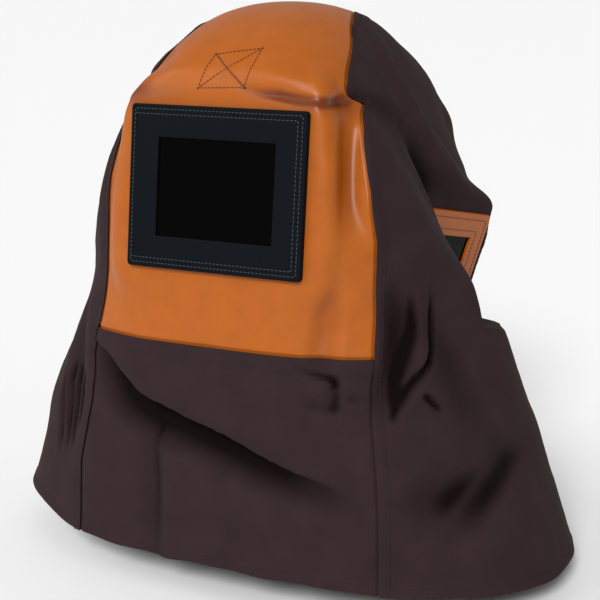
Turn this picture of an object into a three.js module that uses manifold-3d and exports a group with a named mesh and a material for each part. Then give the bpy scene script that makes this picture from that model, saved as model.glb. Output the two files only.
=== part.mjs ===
// Industrial hood with bump cap, worn: coated leather front, brown cloth drape, dark filter window.
import * as THREE from "three";
import Module from "manifold-3d";

const wasm = await Module();
wasm.setup();

// ---- sizes in millimetres, angles in degrees ----
const hoodHeight = 460;
const crownRise = 79;
const hemHalfWidth = 250;
const frontDepth = 157;
const backDepth = 190;
const crownRoundness = 2.15;
const foldReach = 40;
const foldLift = 20;
const foldRadius = 150;
const hemFront = 361;
const hemDrop = 24;
const clothThick = 1.4;
const leatherThick = 1.8;
const seamGap = 0.4;
const bibTop = 179;
const turnHeight = 5.5;
const turnDepth = -5;

const windowWidth = 150;
const windowHeight = 126;
const windowTilt = 6.8;
const windowDepth = 157.5;
const windowDrop = 58.5;
const windowThick = 5.2;
const glassWidth = 110;
const glassHeight = 90;
const glassThick = 3;
const apertureWidth = 100;
const apertureHeight = 76;
const plateGap = 0.4;
const paneGap = 0.3;
const flatBlend = 34;

const sideWidth = 104;
const sideHeight = 80;
const sideBand = 22;
const sideThick = 4.4;
const paneThick = 2;
const paneLap = 4;
const sideFacing = 72;
const sideLean = 12;
const sideTurn = 12;
const sideCornerOut = 135;
const sideCornerRear = 100;
const sideCornerDrop = 109;
const sideMargin = 4;
const sideFrontBlend = 24;
const sideRearBlend = 20;
const sideLowerBlend = 16;
const sideLowerRearBlend = 50;
const sideUpperBlend = 32;

// The cap follows the crown's size, less a clearance.
const capClearance = 7;
const capTopClearance = 10;
const capHalfWidth = 0.4 * hemHalfWidth - capClearance;
const capFront = 0.809 * frontDepth - capClearance;
const capBack = 0.621 * backDepth - capClearance;
const capRise = crownRise - capTopClearance;
const capCentre = -15;
const capLean = -10;
const capThick = 2.6;
const capSquareness = 2.2;
const capBandThick = 3;
const capGap = 0.3;

// ---- the draped surface, one row per level: shares of the sizes above ----
const sections = [
  { height: 0.161, width: 0.416, front: 0.790, back: 0.442, shift: -0.127, squareFront: 2.5, squareBack: 2.0 },
  { height: 0.087, width: 0.396, front: 0.854, back: 0.589, shift: -0.076, squareFront: 2.8, squareBack: 2.1 },
  { height: 0.022, width: 0.416, front: 0.943, back: 0.684, shift: -0.038, squareFront: 3.4, squareBack: 2.4 },
  { height: -0.054, width: 0.456, front: 0.981, back: 0.747, shift: -0.038, squareFront: 3.9, squareBack: 2.6 },
  { height: -0.152, width: 0.520, front: 1.000, back: 0.800, shift: -0.051, squareFront: 4.0, squareBack: 2.9 },
  { height: -0.254, width: 0.576, front: 0.994, back: 0.874, shift: -0.064, squareFront: 3.8, squareBack: 3.1 },
  { height: -0.326, width: 0.624, front: 0.981, back: 0.853, shift: -0.089, squareFront: 3.3, squareBack: 2.6 },
  { height: -0.398, width: 0.696, front: 0.968, back: 0.832, shift: -0.127, squareFront: 3.0, squareBack: 2.2 },
  { height: -0.500, width: 0.788, front: 0.955, back: 0.842, shift: -0.153, squareFront: 2.7, squareBack: 2.0 },
  { height: -0.576, width: 0.848, front: 0.955, back: 0.884, shift: -0.159, squareFront: 2.6, squareBack: 2.0 },
  { height: -0.674, width: 0.910, front: 0.955, back: 0.926, shift: -0.159, squareFront: 2.5, squareBack: 2.0 },
  { height: -0.807, width: 0.988, front: 0.962, back: 0.968, shift: -0.159, squareFront: 2.5, squareBack: 2.1 },
  { height: -0.870, width: 1.012, front: 0.968, back: 0.989, shift: -0.159, squareFront: 2.5, squareBack: 2.1 },
];

// Each fold is a path of [angle from the front, height share, reach to the rear or above,
// reach to the front or below, lift share]. Both sides, or the wearer's left (+) or right (-) only.
const folds = [
  { name: "cap bulge", both: true, path: [[2, 0.085, 0.8, 0.5, 0.10], [22, 0.065, 0.8, 0.45, 0.34],
    [42, 0.062, 0.7, 0.45, 0.36], [58, 0.07, 0.7, 0.5, 0.10]] },
  { name: "groove under the cap", both: true, path: [[6, 0.045, 0.35, 0.3, -0.08], [20, 0.03, 0.35, 0.3, -0.18],
    [34, 0.018, 0.35, 0.3, -0.25], [44, 0.012, 0.3, 0.3, -0.12]] },
  { name: "temple tuck", both: true, path: [[38, 0.016, 0.3, 0.4, -0.12], [47, 0.012, 0.3, 0.5, -0.25],
    [57, -0.004, 0.35, 0.55, -0.3], [66, -0.035, 0.4, 0.6, -0.2], [74, -0.07, 0.4, 0.6, 0]] },
  { name: "temple ridge", both: true, path: [[44, -0.004, 0.4, 0.5, 0.1], [50, -0.076, 0.6, 0.9, 0.4],
    [56, -0.135, 0.7, 1.2, 0.55], [63, -0.206, 0.8, 1.4, 0.7], [71, -0.272, 0.9, 1.4, 0.75],
    [79, -0.33, 1.0, 1.3, 0.5], [84, -0.40, 1.1, 1.3, 0.2], [87, -0.48, 1.1, 1.3, 0]] },
  { name: "left shoulder", both: false, path: [[74, -0.26, 0.7, 1.2, 0.05], [80, -0.32, 0.8, 1.4, 0.35],
    [84, -0.38, 1.1, 1.5, 0.55], [86, -0.44, 1.2, 1.5, 0.6], [88, -0.52, 1.3, 1.5, 0.4],
    [88, -0.62, 1.3, 1.5, 0.3], [89, -0.80, 1.3, 1.5, 0.3]] },
  { name: "hollow behind the ridge", both: true, path: [[70, -0.05, 0.8, 0.5, -0.2], [80, -0.12, 0.9, 0.6, -0.6],
    [90, -0.20, 0.9, 0.8, -0.8], [98, -0.29, 0.9, 0.8, -0.5], [108, -0.36, 0.8, 0.8, -0.1]] },
  { name: "crown edge", both: true, path: [[84, 0.126, 0.35, 0.5, 0.05], [75, 0.078, 0.4, 0.6, 0.2],
    [77, 0.022, 0.4, 0.7, 0.28], [87, -0.048, 0.4, 0.7, 0.32], [98, -0.096, 0.4, 0.7, 0.3],
    [112, -0.165, 0.5, 0.6, 0.25], [123, -0.213, 0.5, 0.5, 0.1]] },
  { name: "rear cap corner", both: true, path: [[128, -0.02, 0.7, 0.8, 0.05], [133, -0.05, 0.7, 0.8, 0.3],
    [138, -0.09, 0.8, 0.8, 0]] },
  { name: "neck bulge", both: true, path: [[122, -0.26, 0.8, 0.8, 0.1], [124, -0.30, 0.8, 0.9, 0.5],
    [122, -0.345, 0.8, 0.8, 0.3], [118, -0.38, 0.8, 0.8, 0]] },
  { name: "leather edge", both: true, path: [[44, -0.01, 0.3, 0.4, 0.1], [42, -0.065, 0.35, 0.5, 0.25],
    [42, -0.15, 0.35, 0.5, 0.25], [43, -0.24, 0.35, 0.5, 0.05]] },
  { name: "leather valley", both: false, path: [[40, 0, 0.3, 0.35, -0.2], [36.5, -0.07, 0.35, 0.45, -0.4],
    [36.5, -0.135, 0.35, 0.45, -0.35], [38.5, -0.2, 0.35, 0.4, -0.1]] },
  { name: "chin crease", both: false, path: [[29, -0.27, 0.3, 0.3, -0.05], [30, -0.335, 0.35, 0.35, -0.2],
    [29.5, -0.395, 0.3, 0.3, -0.08]] },
  { name: "bib fold", both: false, path: [[-36, -0.42, 0.3, 0.35, -0.1], [-30, -0.46, 0.4, 0.4, -0.35],
    [-23, -0.495, 0.45, 0.45, -0.45], [-12, -0.53, 0.45, 0.5, -0.45], [2, -0.552, 0.45, 0.5, -0.42],
    [14, -0.576, 0.45, 0.5, -0.4], [26, -0.612, 0.45, 0.45, -0.3], [38, -0.65, 0.4, 0.4, -0.08]] },
  { name: "bib bulge", both: false, path: [[-30, -0.40, 0.9, 0.5, 0.05], [-20, -0.44, 1.0, 0.6, 0.3],
    [-8, -0.475, 1.1, 0.7, 0.42], [6, -0.50, 1.1, 0.7, 0.45], [20, -0.535, 1.0, 0.6, 0.38],
    [32, -0.575, 0.8, 0.5, 0.15]] },
  { name: "bib crease", both: false, path: [[-19, -0.54, 0.3, 0.5, -0.05], [-20, -0.65, 0.3, 0.5, -0.2],
    [-20, -0.78, 0.3, 0.5, -0.12]] },
  { name: "side pocket", both: false, path: [[49, -0.26, 0.35, 0.3, -0.1], [51, -0.32, 0.5, 0.4, -0.45],
    [50.5, -0.385, 0.5, 0.4, -0.55], [48, -0.45, 0.4, 0.35, -0.3], [46, -0.495, 0.3, 0.3, -0.05]] },
  { name: "side valley", both: false, path: [[57, -0.25, 0.5, 0.6, -0.1], [60, -0.32, 0.6, 0.8, -0.4],
    [63, -0.395, 0.7, 0.9, -0.5], [67, -0.48, 0.7, 0.9, -0.4], [71, -0.55, 0.6, 0.8, -0.1]] },
  { name: "hem sweep", both: false, path: [[86, -0.55, 0.5, 0.7, -0.1], [79, -0.58, 0.55, 0.8, -0.35],
    [72, -0.61, 0.55, 0.8, -0.3], [64, -0.655, 0.5, 0.7, -0.2], [57, -0.71, 0.4, 0.5, -0.05]] },
  { name: "second hem sweep", both: false, path: [[63, -0.57, 0.4, 0.5, -0.05], [57, -0.625, 0.45, 0.6, -0.25],
    [52, -0.67, 0.4, 0.5, -0.08]] },
  { name: "right temple hollow", both: false, path: [[-22, 0.035, 0.7, 0.6, -0.1], [-30, 0.05, 0.8, 0.7, -0.5],
    [-38, 0.07, 0.8, 0.7, -0.55], [-48, 0.095, 0.7, 0.7, -0.1]] },
  { name: "right drape", both: false, path: [[-58, -0.30, 0.6, 0.5, -0.05], [-55, -0.40, 0.7, 0.6, -0.35],
    [-53, -0.52, 0.7, 0.6, -0.35], [-57, -0.66, 0.6, 0.6, -0.1]] },
  { name: "right shoulder", both: false, path: [[-78, -0.40, 0.7, 0.7, 0.05], [-76, -0.52, 0.8, 0.8, 0.3],
    [-75, -0.68, 0.8, 0.8, 0.2], [-74, -0.80, 0.8, 0.8, 0.3]] },
  { name: "back hollow", both: true, path: [[150, -0.42, 0.8, 0.8, -0.05], [148, -0.55, 0.9, 0.9, -0.4],
    [146, -0.70, 1.0, 1.0, -0.45], [145, -0.83, 1.0, 1.0, -0.5]] },
  { name: "back ridge", both: true, path: [[118, -0.45, 0.9, 0.9, 0], [120, -0.58, 0.9, 0.9, 0.3],
    [121, -0.72, 1.0, 1.0, 0.35], [122, -0.83, 1.0, 1.0, 0.4]] },
];

const degree = Math.PI / 180;
const clamp = (value, low, high) => Math.min(high, Math.max(low, value));
const ease = (value) => {
  const t = clamp(value, 0, 1);
  return t * t * (3 - 2 * t);
};
const mix = (a, b, t) => a + (b - a) * t;

// Smooth curve through the rows of the section table.
const levels = [...sections].sort((a, b) => a.height - b.height);
function slopeAt(key, i) {
  const before = Math.max(i - 1, 0);
  const after = Math.min(i + 1, levels.length - 1);
  return (levels[after][key] - levels[before][key]) / (levels[after].height - levels[before].height);
}
function sectionValue(key, z) {
  const height = clamp(z / hoodHeight, levels[0].height, levels[levels.length - 1].height);
  let i = 0;
  while (i < levels.length - 2 && levels[i + 1].height < height) i += 1;
  const step = levels[i + 1].height - levels[i].height;
  const t = (height - levels[i].height) / step;
  const t2 = t * t;
  const t3 = t2 * t;
  return (2 * t3 - 3 * t2 + 1) * levels[i][key] + (t3 - 2 * t2 + t) * step * slopeAt(key, i)
    + (3 * t2 - 2 * t3) * levels[i + 1][key] + (t3 - t2) * step * slopeAt(key, i + 1);
}

// Fold paths as short straight pieces on the unrolled side of the hood.
const piecesPerStep = 5;
function foldPieces(path) {
  const points = [];
  for (let i = 0; i < path.length - 1; i += 1) {
    const around = [path[Math.max(i - 1, 0)], path[i], path[i + 1], path[Math.min(i + 2, path.length - 1)]];
    for (let k = 0; k < piecesPerStep; k += 1) {
      const t = k / piecesPerStep;
      points.push(path[0].map((_, c) => {
        const [p0, p1, p2, p3] = around.map((row) => row[c]);
        return 0.5 * (2 * p1 + (p2 - p0) * t + (2 * p0 - 5 * p1 + 4 * p2 - p3) * t * t
          + (3 * p1 - p0 - 3 * p2 + p3) * t * t * t);
      }));
    }
  }
  points.push(path[path.length - 1]);
  return points.map(([angle, height, rear, ahead, lift]) => ({
    x: angle * degree * foldRadius, z: height * hoodHeight,
    rear: rear * foldReach, ahead: ahead * foldReach, lift: lift * foldLift,
  }));
}
const foldPaths = folds.map((fold) => ({ both: fold.both, points: foldPieces(fold.path) }));
const sideSoftness = 6;
function pathLift(points, x, z) {
  let nearest = Infinity;
  let lift = 0;
  for (let i = 0; i < points.length - 1; i += 1) {
    const a = points[i];
    const b = points[i + 1];
    const dx = b.x - a.x;
    const dz = b.z - a.z;
    const length = Math.hypot(dx, dz);
    const t = clamp(((x - a.x) * dx + (z - a.z) * dz) / (length * length), 0, 1);
    const ex = x - a.x - t * dx;
    const ez = z - a.z - t * dz;
    const away = Math.hypot(ex, ez);
    if (away >= nearest) continue;
    nearest = away;
    const share = 0.5 + 0.5 * clamp((dx * ez - dz * ex) / length / sideSoftness, -1, 1);
    const reach = mix(mix(a.ahead, b.ahead, t), mix(a.rear, b.rear, t), share);
    const q = away / reach;
    lift = q < 1 ? mix(a.lift, b.lift, t) * (1 - q * q) ** 2 : 0;
  }
  return lift;
}

// The flat seats of the three windows.
function windowSeat() {
  const tilt = windowTilt * degree;
  return {
    normal: new THREE.Vector3(0, -Math.cos(tilt), Math.sin(tilt)),
    across: new THREE.Vector3(1, 0, 0),
    up: new THREE.Vector3(0, Math.sin(tilt), Math.cos(tilt)),
    centre: new THREE.Vector3(0, -windowDepth, -windowDrop),
    halfWidth: windowWidth / 2 + 1, halfHeight: windowHeight / 2 + 1,
    blends: [flatBlend, flatBlend, flatBlend, flatBlend, flatBlend],
  };
}
function sideSeat(side) {
  const facing = sideFacing * degree;
  const lean = sideLean * degree;
  const turn = sideTurn * degree;
  const level = new THREE.Vector3(Math.sin(facing), -Math.cos(facing), 0);
  const rear = new THREE.Vector3(Math.cos(facing), Math.sin(facing), 0);
  const normal = level.multiplyScalar(Math.cos(lean)).add(new THREE.Vector3(0, 0, -Math.sin(lean)));
  const rise = new THREE.Vector3().crossVectors(rear, normal);
  if (rise.z < 0) rise.negate();
  const across = rear.clone().multiplyScalar(Math.cos(turn)).addScaledVector(rise, -Math.sin(turn));
  const up = rear.clone().multiplyScalar(Math.sin(turn)).addScaledVector(rise, Math.cos(turn));
  const centre = new THREE.Vector3(sideCornerOut, sideCornerRear, -sideCornerDrop)
    .addScaledVector(across, -sideWidth / 2).addScaledVector(up, -sideHeight / 2);
  for (const vector of [normal, across, up, centre]) vector.x *= side;
  return {
    normal, across, up, centre, halfWidth: sideWidth / 2 + sideMargin, halfHeight: sideHeight / 2 + sideMargin,
    blends: [sideFrontBlend, sideRearBlend, sideLowerBlend, sideLowerRearBlend, sideUpperBlend],
  };
}
const frontSeat = windowSeat();
const leftSeat = sideSeat(1);
const rightSeat = sideSeat(-1);
const steepest = 0.15;
function flatten(radius, angle, z, shift, seat) {
  const dx = Math.sin(angle);
  const dy = -Math.cos(angle);
  const slant = seat.normal.x * dx + seat.normal.y * dy;
  if (slant < steepest) return radius;
  const flat = (seat.normal.dot(seat.centre) - seat.normal.z * z - seat.normal.y * shift) / slant;
  const point = new THREE.Vector3(flat * dx, shift + flat * dy, z).sub(seat.centre);
  const u = point.dot(seat.across);
  const v = point.dot(seat.up);
  const [front, rear, lowerFront, lowerRear, upper] = seat.blends;
  const lower = mix(lowerFront, lowerRear, ease(0.5 + u / seat.halfWidth / 2));
  const overU = Math.max(u - seat.halfWidth, 0) / rear + Math.max(-u - seat.halfWidth, 0) / front;
  const overV = Math.max(v - seat.halfHeight, 0) / upper + Math.max(-v - seat.halfHeight, 0) / lower;
  return mix(radius, flat, ease(1 - Math.hypot(overU, overV)));
}

// Radius of the outer face at an angle from the front and a height, about the level's own centre.
function centreShift(z) {
  return sectionValue("shift", z) * frontDepth;
}
const squareBlend = 0.7;
function hoodRadius(angle, z) {
  const c = Math.cos(angle);
  const s = Math.sin(angle);
  const blend = ease(0.5 + c / squareBlend);
  const square = mix(sectionValue("squareBack", z), sectionValue("squareFront", z), blend);
  const depth = c > 0 ? sectionValue("front", z) * frontDepth : sectionValue("back", z) * backDepth;
  const width = sectionValue("width", z) * hemHalfWidth;
  const dome = (1 - clamp(z / crownRise, 0, 1) ** crownRoundness) ** (1 / crownRoundness);
  let radius = (Math.abs(c / depth) ** square + Math.abs(s / width) ** square) ** (-1 / square) * dome;
  for (const fold of foldPaths) {
    radius += pathLift(fold.points, angle * foldRadius, z);
    if (fold.both) radius += pathLift(fold.points, -angle * foldRadius, z);
  }
  const shift = centreShift(z);
  for (const seat of [frontSeat, leftSeat, rightSeat]) radius = flatten(radius, angle, z, shift, seat);
  return radius;
}
function outside(point) {
  if (point.z >= crownRise) return true;
  const y = point.y - centreShift(point.z);
  return Math.hypot(point.x, y) > hoodRadius(Math.atan2(point.x, -y), point.z);
}
// Point where a line leaves the hood's outer face.
const searchFar = 420;
const searchSteps = 26;
function leaving(origin, direction) {
  let near = 0;
  let far = searchFar;
  for (let i = 0; i < searchSteps; i += 1) {
    const middle = (near + far) / 2;
    if (outside(origin.clone().addScaledVector(direction, middle))) far = middle;
    else near = middle;
  }
  return origin.clone().addScaledVector(direction, near);
}
// Every panel point is found along a line: level below the turn, fanned out above it.
function panelPoint(x, level, turn) {
  const origin = new THREE.Vector3(x, turnDepth, Math.min(level, turnHeight));
  return leaving(origin, new THREE.Vector3(0, -Math.cos(turn), Math.sin(turn)));
}
const probe = 1.5;
const topShare = 0.9999;
function outwardNormal(point) {
  const value = (p) => {
    const y = p.y - centreShift(p.z);
    return Math.hypot(p.x, y) - hoodRadius(Math.atan2(p.x, -y), Math.min(p.z, crownRise * topShare));
  };
  if (point.z > crownRise - 2 * probe) return new THREE.Vector3(0, 0, 1);
  const gradient = new THREE.Vector3();
  for (const axis of ["x", "y", "z"]) {
    const ahead = point.clone();
    const behind = point.clone();
    ahead[axis] += probe;
    behind[axis] -= probe;
    gradient[axis] = value(ahead) - value(behind);
  }
  return gradient.normalize();
}

// ---- panels: grids of points given a thickness ----
function makeMaterial(color, roughness, metalness) {
  return new THREE.MeshStandardMaterial({ color, roughness, metalness });
}
const orangeLeather = makeMaterial("#c2691c", 0.55, 0);
const brownCloth = makeMaterial("#3e2f32", 0.95, 0);
const blackLeather = makeMaterial("#0d1118", 0.5, 0);
const darkGlass = makeMaterial("#05060a", 0.08, 0);
const capPlastic = makeMaterial("#2c2e31", 0.45, 0);
const padFabric = makeMaterial("#1a1a1c", 0.95, 0);

const hood = new THREE.Group();
// The triangles, turned round if they face inwards.
function facingOut(positions, triangles) {
  const corner = (i) => new THREE.Vector3(...positions.slice(3 * i, 3 * i + 3));
  let volume = 0;
  for (let i = 0; i < triangles.length; i += 3) {
    volume += corner(triangles[i]).dot(corner(triangles[i + 1]).cross(corner(triangles[i + 2])));
  }
  return volume > 0 ? triangles : triangles.slice().reverse();
}
function addMesh(name, positions, triangles, material) {
  const geometry = new THREE.BufferGeometry();
  geometry.setAttribute("position", new THREE.Float32BufferAttribute(positions, 3));
  geometry.setIndex(facingOut(positions, triangles));
  geometry.computeVertexNormals();
  const mesh = new THREE.Mesh(geometry, material);
  mesh.name = name;
  hood.add(mesh);
  return mesh;
}
// Closed wall between two grids of the same size.
function wall(outer, inner) {
  const rows = outer.length;
  const columns = outer[0].length;
  const positions = [];
  for (const grid of [outer, inner]) {
    for (const row of grid) for (const point of row) positions.push(point.x, point.y, point.z);
  }
  const id = (layer, i, j) => layer * rows * columns + i * columns + j;
  const triangles = [];
  const quad = (a, b, c, d) => triangles.push(a, b, c, a, c, d);
  for (let i = 0; i < rows - 1; i += 1) {
    for (let j = 0; j < columns - 1; j += 1) {
      quad(id(0, i, j), id(0, i, j + 1), id(0, i + 1, j + 1), id(0, i + 1, j));
      quad(id(1, i, j), id(1, i + 1, j), id(1, i + 1, j + 1), id(1, i, j + 1));
    }
  }
  for (let j = 0; j < columns - 1; j += 1) {
    quad(id(0, 0, j), id(1, 0, j), id(1, 0, j + 1), id(0, 0, j + 1));
    quad(id(0, rows - 1, j), id(0, rows - 1, j + 1), id(1, rows - 1, j + 1), id(1, rows - 1, j));
  }
  for (let i = 0; i < rows - 1; i += 1) {
    quad(id(0, i, 0), id(0, i + 1, 0), id(1, i + 1, 0), id(1, i, 0));
    quad(id(0, i, columns - 1), id(1, i, columns - 1), id(1, i + 1, columns - 1), id(0, i + 1, columns - 1));
  }
  return { positions, triangles };
}
// Draws the panel's outer edges in so that neighbours stand a seam's gap apart.
function drawIn(grid) {
  const rows = grid.length;
  const columns = grid[0].length;
  const pull = (point, towards) => {
    const direction = towards.clone().sub(point).normalize();
    return point.clone().addScaledVector(direction, seamGap / 2);
  };
  let result = grid.map((row) => [pull(row[0], row[1]), ...row.slice(1, -1), pull(row[columns - 1], row[columns - 2])]);
  result = result.map((row, i) => {
    if (i === 0) return row.map((point, j) => pull(point, result[1][j]));
    if (i === rows - 1) return row.map((point, j) => pull(point, result[rows - 2][j]));
    return row;
  });
  return result;
}
function innerFace(outer, thick) {
  return outer.map((row) => row.map((point) => point.clone().addScaledVector(outwardNormal(point), -thick)));
}
function panelWall(grid, thick) {
  const outer = drawIn(grid);
  return wall(outer, innerFace(outer, thick));
}

// Rows of the centre panels: level ones up the front, turned ones over the crown, level ones down.
const bibCells = 11;
const chinCells = 3;
const windowCells = 6;
const frontCells = bibCells + chinCells + windowCells;
const templeCells = 7;
const roundCells = 20;
const crownCells = roundCells + 2 * templeCells;
const leatherCrownCells = 21;
const templeTurn = 45;
const roundCrowding = 1.15;
const windowFoot = -windowDrop - (windowHeight / 2 + 1) * Math.cos(windowTilt * degree);
// Half widths of the centre panels, in shares of the hem's: the wearer's right seam hangs nearer the middle.
const seamHalves = [
  { height: -0.80, right: 0.545, left: 0.552 }, { height: -0.61, right: 0.525, left: 0.536 },
  { height: -0.48, right: 0.478, left: 0.508 }, { height: -0.40, right: 0.458, left: 0.502 },
  { height: -0.28, right: 0.415, left: 0.492 }, { height: -0.20, right: 0.412, left: 0.482 },
  { height: -0.12, right: 0.418, left: 0.458 }, { height: -0.05, right: 0.400, left: 0.425 },
  { height: -0.02, right: 0.390, left: 0.410 }, { height: 0.012, right: 0.378, left: 0.378 },
];
const crownHalves = [
  { turn: 0, half: 0.378 }, { turn: 5, half: 0.346 }, { turn: 26, half: 0.310 }, { turn: 50, half: 0.260 },
  { turn: 90, half: 0.190 }, { turn: 120, half: 0.180 }, { turn: 150, half: 0.200 }, { turn: 180, half: 0.240 },
];
const backHalves = [
  { height: -0.84, half: 0.400 }, { height: -0.60, half: 0.340 }, { height: -0.40, half: 0.290 },
  { height: -0.20, half: 0.260 }, { height: 0.012, half: 0.240 },
];
function lookUp(rows, key, place, column) {
  let i = 0;
  while (i < rows.length - 2 && rows[i + 1][key] < place) i += 1;
  const t = clamp((place - rows[i][key]) / (rows[i + 1][key] - rows[i][key]), 0, 1);
  return mix(rows[i][column], rows[i + 1][column], t) * hemHalfWidth;
}
function hemHeight(angle) {
  return -hemFront - hemDrop * (1 - Math.cos(angle)) / 2;
}
function frontHeight(row) {
  if (row <= bibCells) return mix(-hemFront, -bibTop, row / bibCells);
  if (row <= bibCells + chinCells) return mix(-bibTop, windowFoot, (row - bibCells) / chinCells);
  return mix(windowFoot, turnHeight, (row - bibCells - chinCells) / windowCells);
}
const roundShare = (column) => (column / roundCells) ** roundCrowding;
function crownTurn(column) {
  if (column <= templeCells) return templeTurn * column / templeCells;
  if (column >= crownCells - templeCells) return 180 - templeTurn * (crownCells - column) / templeCells;
  return mix(templeTurn, 180 - templeTurn, roundShare(column - templeCells));
}
const backHeight = (row) => mix(-hemFront - hemDrop, turnHeight, row / frontCells);
const innerLines = windowWidth / 2 + 1.5;
const innerShare = 0.76;
const innerColumns = [0.333, 0.667, 1];
const outerColumns = [0.333, 0.667, 1];
function columnPlaces(right, left) {
  const outwards = (half) => {
    const inner = Math.min(innerLines, innerShare * half);
    return [...innerColumns.map((share) => share * inner), ...outerColumns.map((share) => mix(inner, half, share))];
  };
  return [...outwards(right).map((x) => -x).reverse(), 0, ...outwards(left)];
}
function hemPoint(x, turn) {
  let point = panelPoint(x, -hemFront, turn);
  for (let i = 0; i < 3; i += 1) {
    const level = hemHeight(Math.atan2(point.x, -(point.y - centreShift(point.z))));
    point = panelPoint(x, level, turn);
  }
  return point;
}
function frontRow(row) {
  const height = frontHeight(row);
  const [right, left] = ["right", "left"].map((side) => lookUp(seamHalves, "height", height / hoodHeight, side));
  const places = columnPlaces(right, left);
  return places.map((x) => (row === 0 ? hemPoint(x, 0) : panelPoint(x, height, 0)));
}
function crownRow(column) {
  const turn = crownTurn(column);
  const half = lookUp(crownHalves, "turn", turn, "half");
  const places = columnPlaces(half, half);
  return places.map((x) => panelPoint(x, turnHeight, turn * degree));
}
function backRow(row) {
  const height = backHeight(row);
  const half = lookUp(backHalves, "height", height / hoodHeight, "half");
  const places = columnPlaces(half, half);
  return places.map((x) => (row === 0 ? hemPoint(x, Math.PI) : panelPoint(x, height, Math.PI)));
}
const count = (from, to) => Array.from({ length: to - from + 1 }, (_, i) => from + i);
const frontRows = count(0, frontCells).map(frontRow);
const crownRows = count(0, crownCells).map(crownRow);
const backRows = count(0, frontCells).map(backRow);

// One side of the cape and crown, stretched between the centre panels' seams and the hem.
function sideGrid(side) {
  const edge = side > 0 ? frontRows[0].length - 1 : 0;
  const crown = crownRows.map((row) => row[edge]);
  const frontEdge = [...frontRows.map((row) => row[edge]), ...crown.slice(1, templeCells + 1)];
  const topEdge = crown.slice(templeCells, crownCells - templeCells + 1);
  const rearEdge = [...backRows.map((row) => row[edge]), ...crown.slice(-1 - templeCells, -1).reverse()];
  const angleOf = (point) => Math.atan2(point.x, -(point.y - centreShift(point.z)));
  const rowCells = frontEdge.length - 1;
  const hemEdge = count(0, roundCells).map((column) => {
    if (column === 0) return frontEdge[0];
    if (column === roundCells) return rearEdge[0];
    const angle = mix(angleOf(frontEdge[0]), angleOf(rearEdge[0]), roundShare(column));
    return facePoint(angle, hemHeight(angle));
  });
  const grid = count(0, rowCells).map((row) => count(0, roundCells).map((column) => {
    if (row === 0) return hemEdge[column];
    if (row === rowCells) return topEdge[column];
    if (column === 0) return frontEdge[row];
    if (column === roundCells) return rearEdge[row];
    const u = roundShare(column);
    const v = row / rowCells;
    const point = hemEdge[column].clone().multiplyScalar(1 - v).addScaledVector(topEdge[column], v)
      .addScaledVector(frontEdge[row], 1 - u).addScaledVector(rearEdge[row], u)
      .addScaledVector(frontEdge[0], -(1 - u) * (1 - v)).addScaledVector(topEdge[0], -(1 - u) * v)
      .addScaledVector(rearEdge[0], -u * (1 - v)).addScaledVector(topEdge[roundCells], -u * v);
    if (point.z <= turnHeight) return facePoint(angleOf(point), point.z);
    const origin = new THREE.Vector3(0, turnDepth, turnHeight);
    return leaving(origin, point.sub(origin).normalize());
  }));
  return relax(grid, side > 0 ? leftSeat : rightSeat);
}
// Draws points near a window seat onto it, and evens out the rest.
const snapReach = 5;
const seatDepth = 25;
const relaxRounds = 5;
const stillCells = 2;
function relax(grid, seat) {
  const seated = grid.map((row) => row.map(() => false));
  let result = grid.map((row, i) => row.map((point, j) => {
    const offset = point.clone().sub(seat.centre);
    const u = offset.dot(seat.across);
    const v = offset.dot(seat.up);
    const near = Math.abs(u) < seat.halfWidth + snapReach && Math.abs(v) < seat.halfHeight + snapReach;
    if (!near || Math.abs(offset.dot(seat.normal)) > seatDepth) return point;
    seated[i][j] = true;
    return seat.centre.clone()
      .addScaledVector(seat.across, clamp(u, -seat.halfWidth, seat.halfWidth))
      .addScaledVector(seat.up, clamp(v, -seat.halfHeight, seat.halfHeight));
  }));
  for (let round = 0; round < relaxRounds; round += 1) {
    result = result.map((row, i) => row.map((point, j) => {
      const fromEdge = Math.min(i, j, grid.length - 1 - i, row.length - 1 - j);
      if (fromEdge < stillCells || seated[i][j]) return point;
      const around = result[i - 1][j].clone().add(result[i + 1][j]).add(row[j - 1]).add(row[j + 1]);
      return point.clone().lerp(around.multiplyScalar(0.25), 0.5);
    }));
  }
  return result;
}
function facePoint(angle, z) {
  const radius = hoodRadius(angle, z);
  return new THREE.Vector3(radius * Math.sin(angle), centreShift(z) - radius * Math.cos(angle), z);
}

// ---- solid helpers for the windows ----
function solidFrom(positions, triangles) {
  const merged = new Map();
  const corners = [];
  const renamed = triangles.map((i) => {
    const place = positions.slice(3 * i, 3 * i + 3);
    const key = place.map((value) => value.toFixed(5)).join(" ");
    if (!merged.has(key)) {
      merged.set(key, corners.length / 3);
      corners.push(...place);
    }
    return merged.get(key);
  });
  return new wasm.Manifold(new wasm.Mesh({
    numProp: 3, vertProperties: new Float32Array(corners), triVerts: new Uint32Array(renamed),
  }));
}
function boxSolid(seat, width, height, low, high) {
  const box = new THREE.BoxGeometry(width, height, high - low);
  box.translate(0, 0, (high + low) / 2);
  const across = seat.across.clone();
  if (new THREE.Vector3().crossVectors(across, seat.up).dot(seat.normal) < 0) across.negate();
  box.applyMatrix4(new THREE.Matrix4().makeBasis(across, seat.up, seat.normal).setPosition(seat.centre));
  return solidFrom(Array.from(box.attributes.position.array), Array.from(box.index.array));
}
function addSolid(name, solid, material) {
  const mesh = solid.getMesh();
  addMesh(name, Array.from(mesh.vertProperties), Array.from(mesh.triVerts), material);
}
const through = 12;
function cutPanel(grid, thick, seat, open, plate) {
  const { positions, triangles } = panelWall(grid, thick);
  return solidFrom(positions, facingOut(positions, triangles))
    .subtract(boxSolid(seat, open.width, open.height, -through, through))
    .subtract(boxSolid(seat, plate.width + 2 * plateGap, plate.height + 2 * plateGap, plateGap / 4, through));
}
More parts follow.
